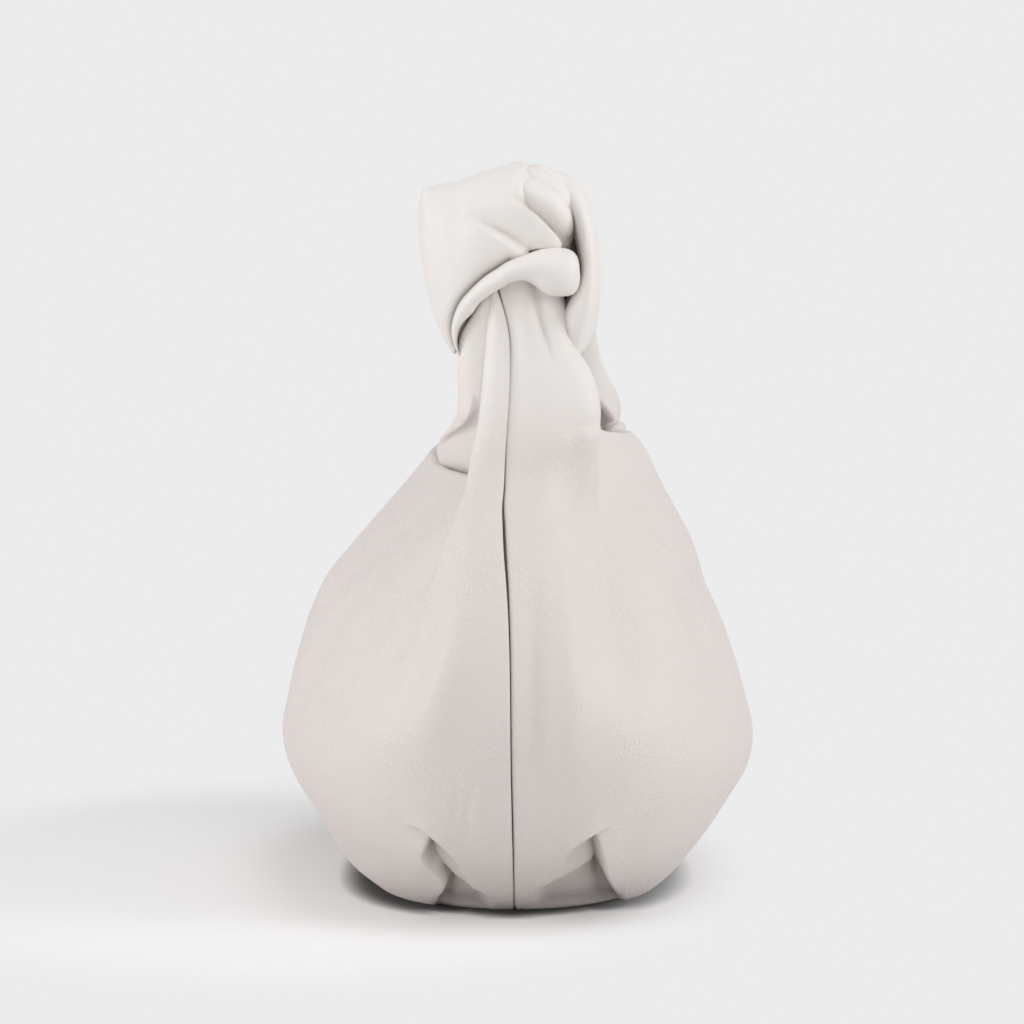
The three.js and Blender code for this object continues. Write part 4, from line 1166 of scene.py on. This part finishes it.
def stitch_line(rows, pitch, length, radius):
    """Points and faces of short rounded threads laid end to end along lines of points."""
    points, faces = [], []
    for row in rows:
        reach = reach_along(row)
        for start in np.arange(pitch, reach[-1] - pitch, pitch):
            ends = [[np.interp(start + d, reach, row[:, k]) for k in range(3)] for d in (0, length)]
            low, high = np.array(ends)
            along = (high - low) / np.linalg.norm(high - low)
            side_way = np.cross(along, [0, 0, 1])
            side_way /= np.linalg.norm(side_way)
            upward = np.cross(side_way, along)
            for share, size in ((0, 0.4), (0.2, 1), (0.8, 1), (1, 0.4)):
                middle = low + share * (high - low)
                for k in range(6):
                    turn = k * math.pi / 3
                    ring = math.cos(turn) * side_way + math.sin(turn) * upward
                    points.append(middle + radius * size * ring)
            base = len(points) - 24
            for ring in range(3):
                for k in range(6):
                    a, b = base + 6 * ring + k, base + 6 * ring + (k + 1) % 6
                    faces.append([a, b, b + 6, a + 6])
            faces += [[base + k for k in (5, 4, 3, 2, 1, 0)], [base + 18 + k for k in range(6)]]
    return points, faces


points, faces = stitch_line(stitch_rows, stitch_pitch, stitch_length, 0.32)
stitches = soft_piece("facing_stitches", points, faces, thread)
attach(stitches, "bag")

# Linings: warm twill, cut to each panel's shape and sewn together along the centre. The back one
# stands in around the zip of its pocket.
def cloth(name, warp_colour, weft_colour, threads=1400.0):
    """Twill whose ribs and yarns follow the piece's own chart, in threads to the metre."""
    material, tree, shader = surface(name, {
        "Roughness": 0.85, "Specular IOR Level": 0.2, "Sheen Weight": 0.25, "Sheen Roughness": 0.4,
    })
    chart = node(tree, "UVMap", uv_map="weave").outputs["UV"]
    rib = node(tree, "TexWave", {
        "Vector": chart, "Scale": threads / 20, "Distortion": 0.4,
    }, bands_direction="DIAGONAL")
    yarn = node(tree, "TexWave", {"Vector": chart, "Scale": threads / 9}, bands_direction="X")
    weave = node(
        tree, "Math", {0: rib.outputs["Fac"], 1: yarn.outputs["Fac"]}, operation="MULTIPLY"
    ).outputs[0]
    slub = node(tree, "TexNoise", {"Vector": chart, "Scale": 160, "Detail": 4})
    uneven = node(
        tree, "Math", {0: weave, 1: 0.6, 2: slub.outputs["Fac"]}, operation="MULTIPLY_ADD"
    )
    bump = node(tree, "Bump", {"Strength": 0.6, "Distance": 0.0002, "Height": weave})
    feed(tree, shader, {
        "Base Color": mixed_colour(tree, uneven.outputs[0], weft_colour, warp_colour),
        "Normal": bump.outputs[0],
    })
    return material


lining_cloth = cloth("lining_cloth", (0.74, 0.66, 0.55), (0.60, 0.52, 0.43))
lining_face, lining_thickness = 3.4, 0.8
zip_x, zip_z, zip_lean = 69.07, 116.0, 0.2


def zip_plane(z):
    """How far out the zip's leaning plane lies at a height."""
    return zip_x - (z - zip_z) * zip_lean


def eased_grid(grid, rounds):
    """Evens out a grid of points, except along its border."""
    for _ in range(rounds):
        middle = (grid[:-2, 1:-1] + grid[2:, 1:-1] + grid[1:-1, :-2] + grid[1:-1, 2:]) / 4
        grid[1:-1, 1:-1] = 0.5 * grid[1:-1, 1:-1] + 0.5 * middle
    return grid


lining_walls = {}
for side in (-1, 1):
    grid, rims = skins[side]
    every = np.arange(0, grid.shape[1], 2)
    if every[-1] != grid.shape[1] - 1:
        every = np.append(every, grid.shape[1] - 1)
    top = rims[every] - facing_depth[side] + 3
    body = sampled(grid, [4 + (top - 4) * t for t in np.linspace(0, 1, 58)], every)
    bottom = grid[0:base_rows + 2:2][:, every]
    wall = np.concatenate([bottom, body])
    inward = -grid_normals(wall) * side
    middle = read(seam_wander, wall[..., 2]) * (wall[..., 1] < 0)
    near_seam = np.abs(wall[..., 0] - middle)
    pleated = ease(-wall[..., 1], 70, 105) * (1 - ease(wall[..., 2], 44, 62))
    clear = lining_face + 3.5 * np.exp(-near_seam / 8) + 13 * pleated
    face = wall + inward * clear[..., None]
    face[..., 0] -= side * turned_edge * np.exp(-near_seam / 14)
    face[..., 2] = np.maximum(face[..., 2], 2.2)
    if side > 0:
        spread = 1 - ease(np.abs(face[..., 1]), 64, 92)
        spread *= ease(face[..., 2], 76, 98) * (1 - ease(face[..., 2], 132, 146))
        window = 1 - ease(np.abs(face[..., 1]), 58, 66)
        window *= ease(face[..., 2], 100, 107) * (1 - ease(face[..., 2], 125, 131))
        plane = zip_plane(face[..., 2]) + 1.6 * window
        face[..., 0] += spread * (plane - face[..., 0])
    face = eased_grid(face, 12)
    outward = grid_normals(face) * side
    name = "lining_front" if side < 0 else "lining_back"
    lining = shell(name, face + lining_thickness * outward, face, lining_cloth)
    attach(lining, "bag")
    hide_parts("front_lining" if side < 0 else "back_lining")
    facing = "facing_front" if side < 0 else "facing_back"
    lining_walls[side] = face


# Slip pocket: an open patch pocket of the same twill on the front lining, hemmed at the top and
# sewn down at the sides and the bottom.
def lining_x(side, y, z):
    """How far out a lining's face lies at a place on the bag's side, above its bottom rows."""
    rows = lining_walls[side][6:]
    at_rows = [np.interp(y, row[:, 1], row[:, 0]) for row in rows]
    heights = [np.interp(y, row[:, 1], row[:, 2]) for row in rows]
    return float(np.interp(z, heights, at_rows))


pocket_cloth = cloth("pocket_cloth", (0.70, 0.62, 0.51), (0.55, 0.475, 0.39))
pocket_half, pocket_low, pocket_high = 60, 68, 128
pocket_y = np.linspace(-pocket_half, pocket_half, 49)
pocket_z = np.concatenate([np.linspace(pocket_low, 120, 23), [122, 124, 125.6, 127, pocket_high]])


def pocket_gap(y, z):
    """How far the patch stands off the lining: it gapes at the top, and its hem is thicker."""
    gape = 2.6 * ease(z, 74, pocket_high) * math.cos(y / pocket_half * math.pi / 2) ** 0.6
    return 1.0 + gape + (0.7 if z >= 120 else 0)


pocket_grid = np.array([
    [[lining_x(-1, y, z) + pocket_gap(y, z), y, z] for y in pocket_y] for z in pocket_z
])
normal = grid_normals(pocket_grid)
half_wall = 0.35 * normal
slip_pocket = shell(
    "slip_pocket_patch", pocket_grid - half_wall, pocket_grid + half_wall, pocket_cloth
)
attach(slip_pocket, "bag")
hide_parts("slip_pocket")

# Zip pocket's bag: a flat bag of the same twill, sewn to the zip's tapes and hung from them
# behind the back lining.
rings = []
turns = full_turn(64)
for z, wide, deep in [
    (60.5, 60, 0.5), (60.8, 61.5, 1.4), (63, 63, 2.8), (70, 63.5, 4.2), (84, 63.5, 4.4),
    (98, 62.5, 3.4), (112, 60, 2.2), (122, 57, 1.4), (127, 55, 1.0), (127.6, 54, 0.4),
]:
    middle = 73.6 - (z - 112) * zip_lean
    out, side_way = squared(np.cos(turns), 0.5), squared(np.sin(turns), 0.5)
    rings.append(np.stack([middle + deep * out, wide * side_way, np.full(len(turns), z)], axis=1))
pocket_bag = closed_loft("zip_pocket_bag", np.stack(rings), pocket_cloth)
chart = pocket_bag.data.uv_layers.new(name="weave")
for loop_corner in pocket_bag.data.loops:
    spot = pocket_bag.data.vertices[loop_corner.vertex_index].co
    chart.data[loop_corner.index].uv = (spot.y, spot.z)
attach(pocket_bag, "bag")
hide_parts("pocket_bag")

# Seam tape: woven tape glued and stitched over the turned edges of the centre seam, from the near
# end under the base to the far end.
tape_cloth = cloth("tape_cloth", (0.66, 0.60, 0.52), (0.50, 0.45, 0.38), 2200.0)
tape_top, tape_wide, tape_inset, tape_thickness = 124, 11.0, 5.6, 0.5
path = skins[-1][0][1:110, 0]
path = path[path[:, 2] < tape_top]
path[:, 0] = read(seam_wander, path[:, 2])
backwards = path[::-1] * [1, -1, 1]
path = np.concatenate([backwards[::3], path[::3]])
step = np.gradient(path, axis=0)
inward = np.stack([np.zeros(len(step)), -step[:, 2], step[:, 1]], axis=1)
inward /= np.linalg.norm(inward, axis=1, keepdims=True)
inward *= np.sign((inward * ([0, 0, 60] - path)).sum(axis=1))[:, None]
offsets = np.linspace(-tape_wide / 2, tape_wide / 2, 7)
strip = np.stack([path + inward * tape_inset + [x, 0, 0] for x in offsets], axis=1)
normal = np.repeat(inward[:, None], 7, axis=1)
tape = shell("centre_seam_tape", strip, strip + tape_thickness * normal, tape_cloth)
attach(tape, "bag")
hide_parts("seam_tape")

# Metal: cast and polished fittings, pale gold on the zip and the snap's faces and bare steel on
# its washers, with faint hairlines from polishing.
def metal(name, colour, dull_colour, roughness):
    material, tree, shader = surface(name, {"Metallic": 1})
    place = node(tree, "TexCoord").outputs["Object"]
    cloudy = node(tree, "TexNoise", {"Vector": place, "Scale": 220, "Detail": 5}).outputs["Fac"]
    gloss = node(tree, "MapRange", {
        "Value": cloudy, "To Min": roughness - 0.07, "To Max": roughness + 0.1,
    })
    brushed = node(tree, "Mapping", {"Vector": place, "Scale": (1, 0.03, 1)})
    hairlines = node(tree, "TexNoise", {"Vector": brushed.outputs[0], "Scale": 5000})
    bump = node(tree, "Bump", {
        "Strength": 0.15, "Distance": 0.00003, "Height": hairlines.outputs["Fac"],
    })
    feed(tree, shader, {
        "Base Color": mixed_colour(tree, cloudy, dull_colour, colour),
        "Roughness": gloss.outputs["Result"], "Normal": bump.outputs[0],
    })
    return material


pale_gold = metal("pale_gold", (0.86, 0.76, 0.53), (0.74, 0.64, 0.43), 0.24)
steel = metal("steel", (0.72, 0.72, 0.73), (0.6, 0.6, 0.61), 0.32)
gilded = (
    "snap_stud", "snap_socket", "zip_teeth_upper", "zip_teeth_lower", "zip_end_stop",
    "zip_start_stop", "zip_slider", "zip_pull",
)
for names, finish in ((gilded, pale_gold), (("snap_stud_washer", "snap_socket_washer"), steel)):
    for name in names:
        for material_slot in bpy.data.objects[name].material_slots:
            material_slot.material = finish

# Zip frame: a leather border round the zip's window, cut with round corners, edges pared thin and
# stitched to the lining all round.
window_half, border = (56.0, 5.0), 11.0


def frame_line(offset, depth):
    """A closed line round the window, offset millimetres outside it and depth in from the wall."""
    radius = 1.5 + 0.45 * offset
    half_y, half_z = window_half[0] + offset, window_half[1] + offset
    line = []
    for corner, (to_y, to_z) in enumerate([(1, 1), (-1, 1), (-1, -1), (1, -1)]):
        for turn in np.radians(np.linspace(0, 90, 9) + 90 * corner):
            y = to_y * (half_y - radius) + radius * math.cos(turn)
            line.append([y, to_z * (half_z - radius) + radius * math.sin(turn)])
    closed = np.array(line + line[:1])
    sides = []
    for number, (start, end) in enumerate(zip(closed[:-1], closed[1:])):
        count = {8: 24, 17: 5, 26: 24, 35: 5}.get(number, 1)
        sides += [start + (end - start) * k / count for k in range(count)]
    y, z = np.array(sides).T
    z = z + zip_z
    return np.stack([zip_plane(z) - 0.3 - depth, y, z], axis=1)


section = [
    (0.3, 0), (0, 0.3), (0, 0.9), (0.25, 1.25), (1.2, 1.4), (2.3, 1.22), (5.5, 1.3),
    (border - 2.6, 1.2), (border - 1.2, 1.3), (border - 0.3, 1.0), (border, 0.6), (border - 0.2, 0),
]
rings = np.stack([frame_line(offset, depth) for offset, depth in section])
ids = np.arange(rings.shape[0] * rings.shape[1]).reshape(rings.shape[:2])
after, beyond = np.roll(ids, -1, axis=0), np.roll(ids, -1, axis=1)
quads = np.stack([ids, beyond, np.roll(beyond, -1, axis=0), after], axis=-1).reshape(-1, 4)
zip_frame = soft_piece("zip_border", rings.reshape(-1, 3), quads.tolist(), facing_leather)
face_outwards(zip_frame)
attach(zip_frame, "bag")
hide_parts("zip_frame")

# Border stitches: two rows of the same linen thread, near both edges of the zip's leather border,
# which hold it to the lining.
lines = [frame_line(offset, 1.25) for offset in (2.4, 8.4)]
rows = [np.concatenate([line, line[:1]]) for line in lines]
points, faces = stitch_line(rows, stitch_pitch, stitch_length, 0.3)
border_stitches = soft_piece("zip_stitches", points, faces, thread)
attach(border_stitches, "bag")

# Zip tapes: woven twill tapes behind the window, one above and one below the teeth, stitched to
# the leather border.
for name, plain_tape, low, high in (
    ("zip_weave_lower", "zip_tape_lower", 102.6, 113.4),
    ("zip_weave_upper", "zip_tape_upper", 118.8, 129.6),
):
    front = np.array([
        [[zip_plane(z) + 0.25, y, z] for y in np.linspace(-61, 61, 41)]
        for z in np.linspace(low, high, 6)
    ])
    zip_tape = shell(name, front + [0.6, 0, 0.12], front, tape_cloth)
    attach(zip_tape, "bag")
    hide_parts(plain_tape)
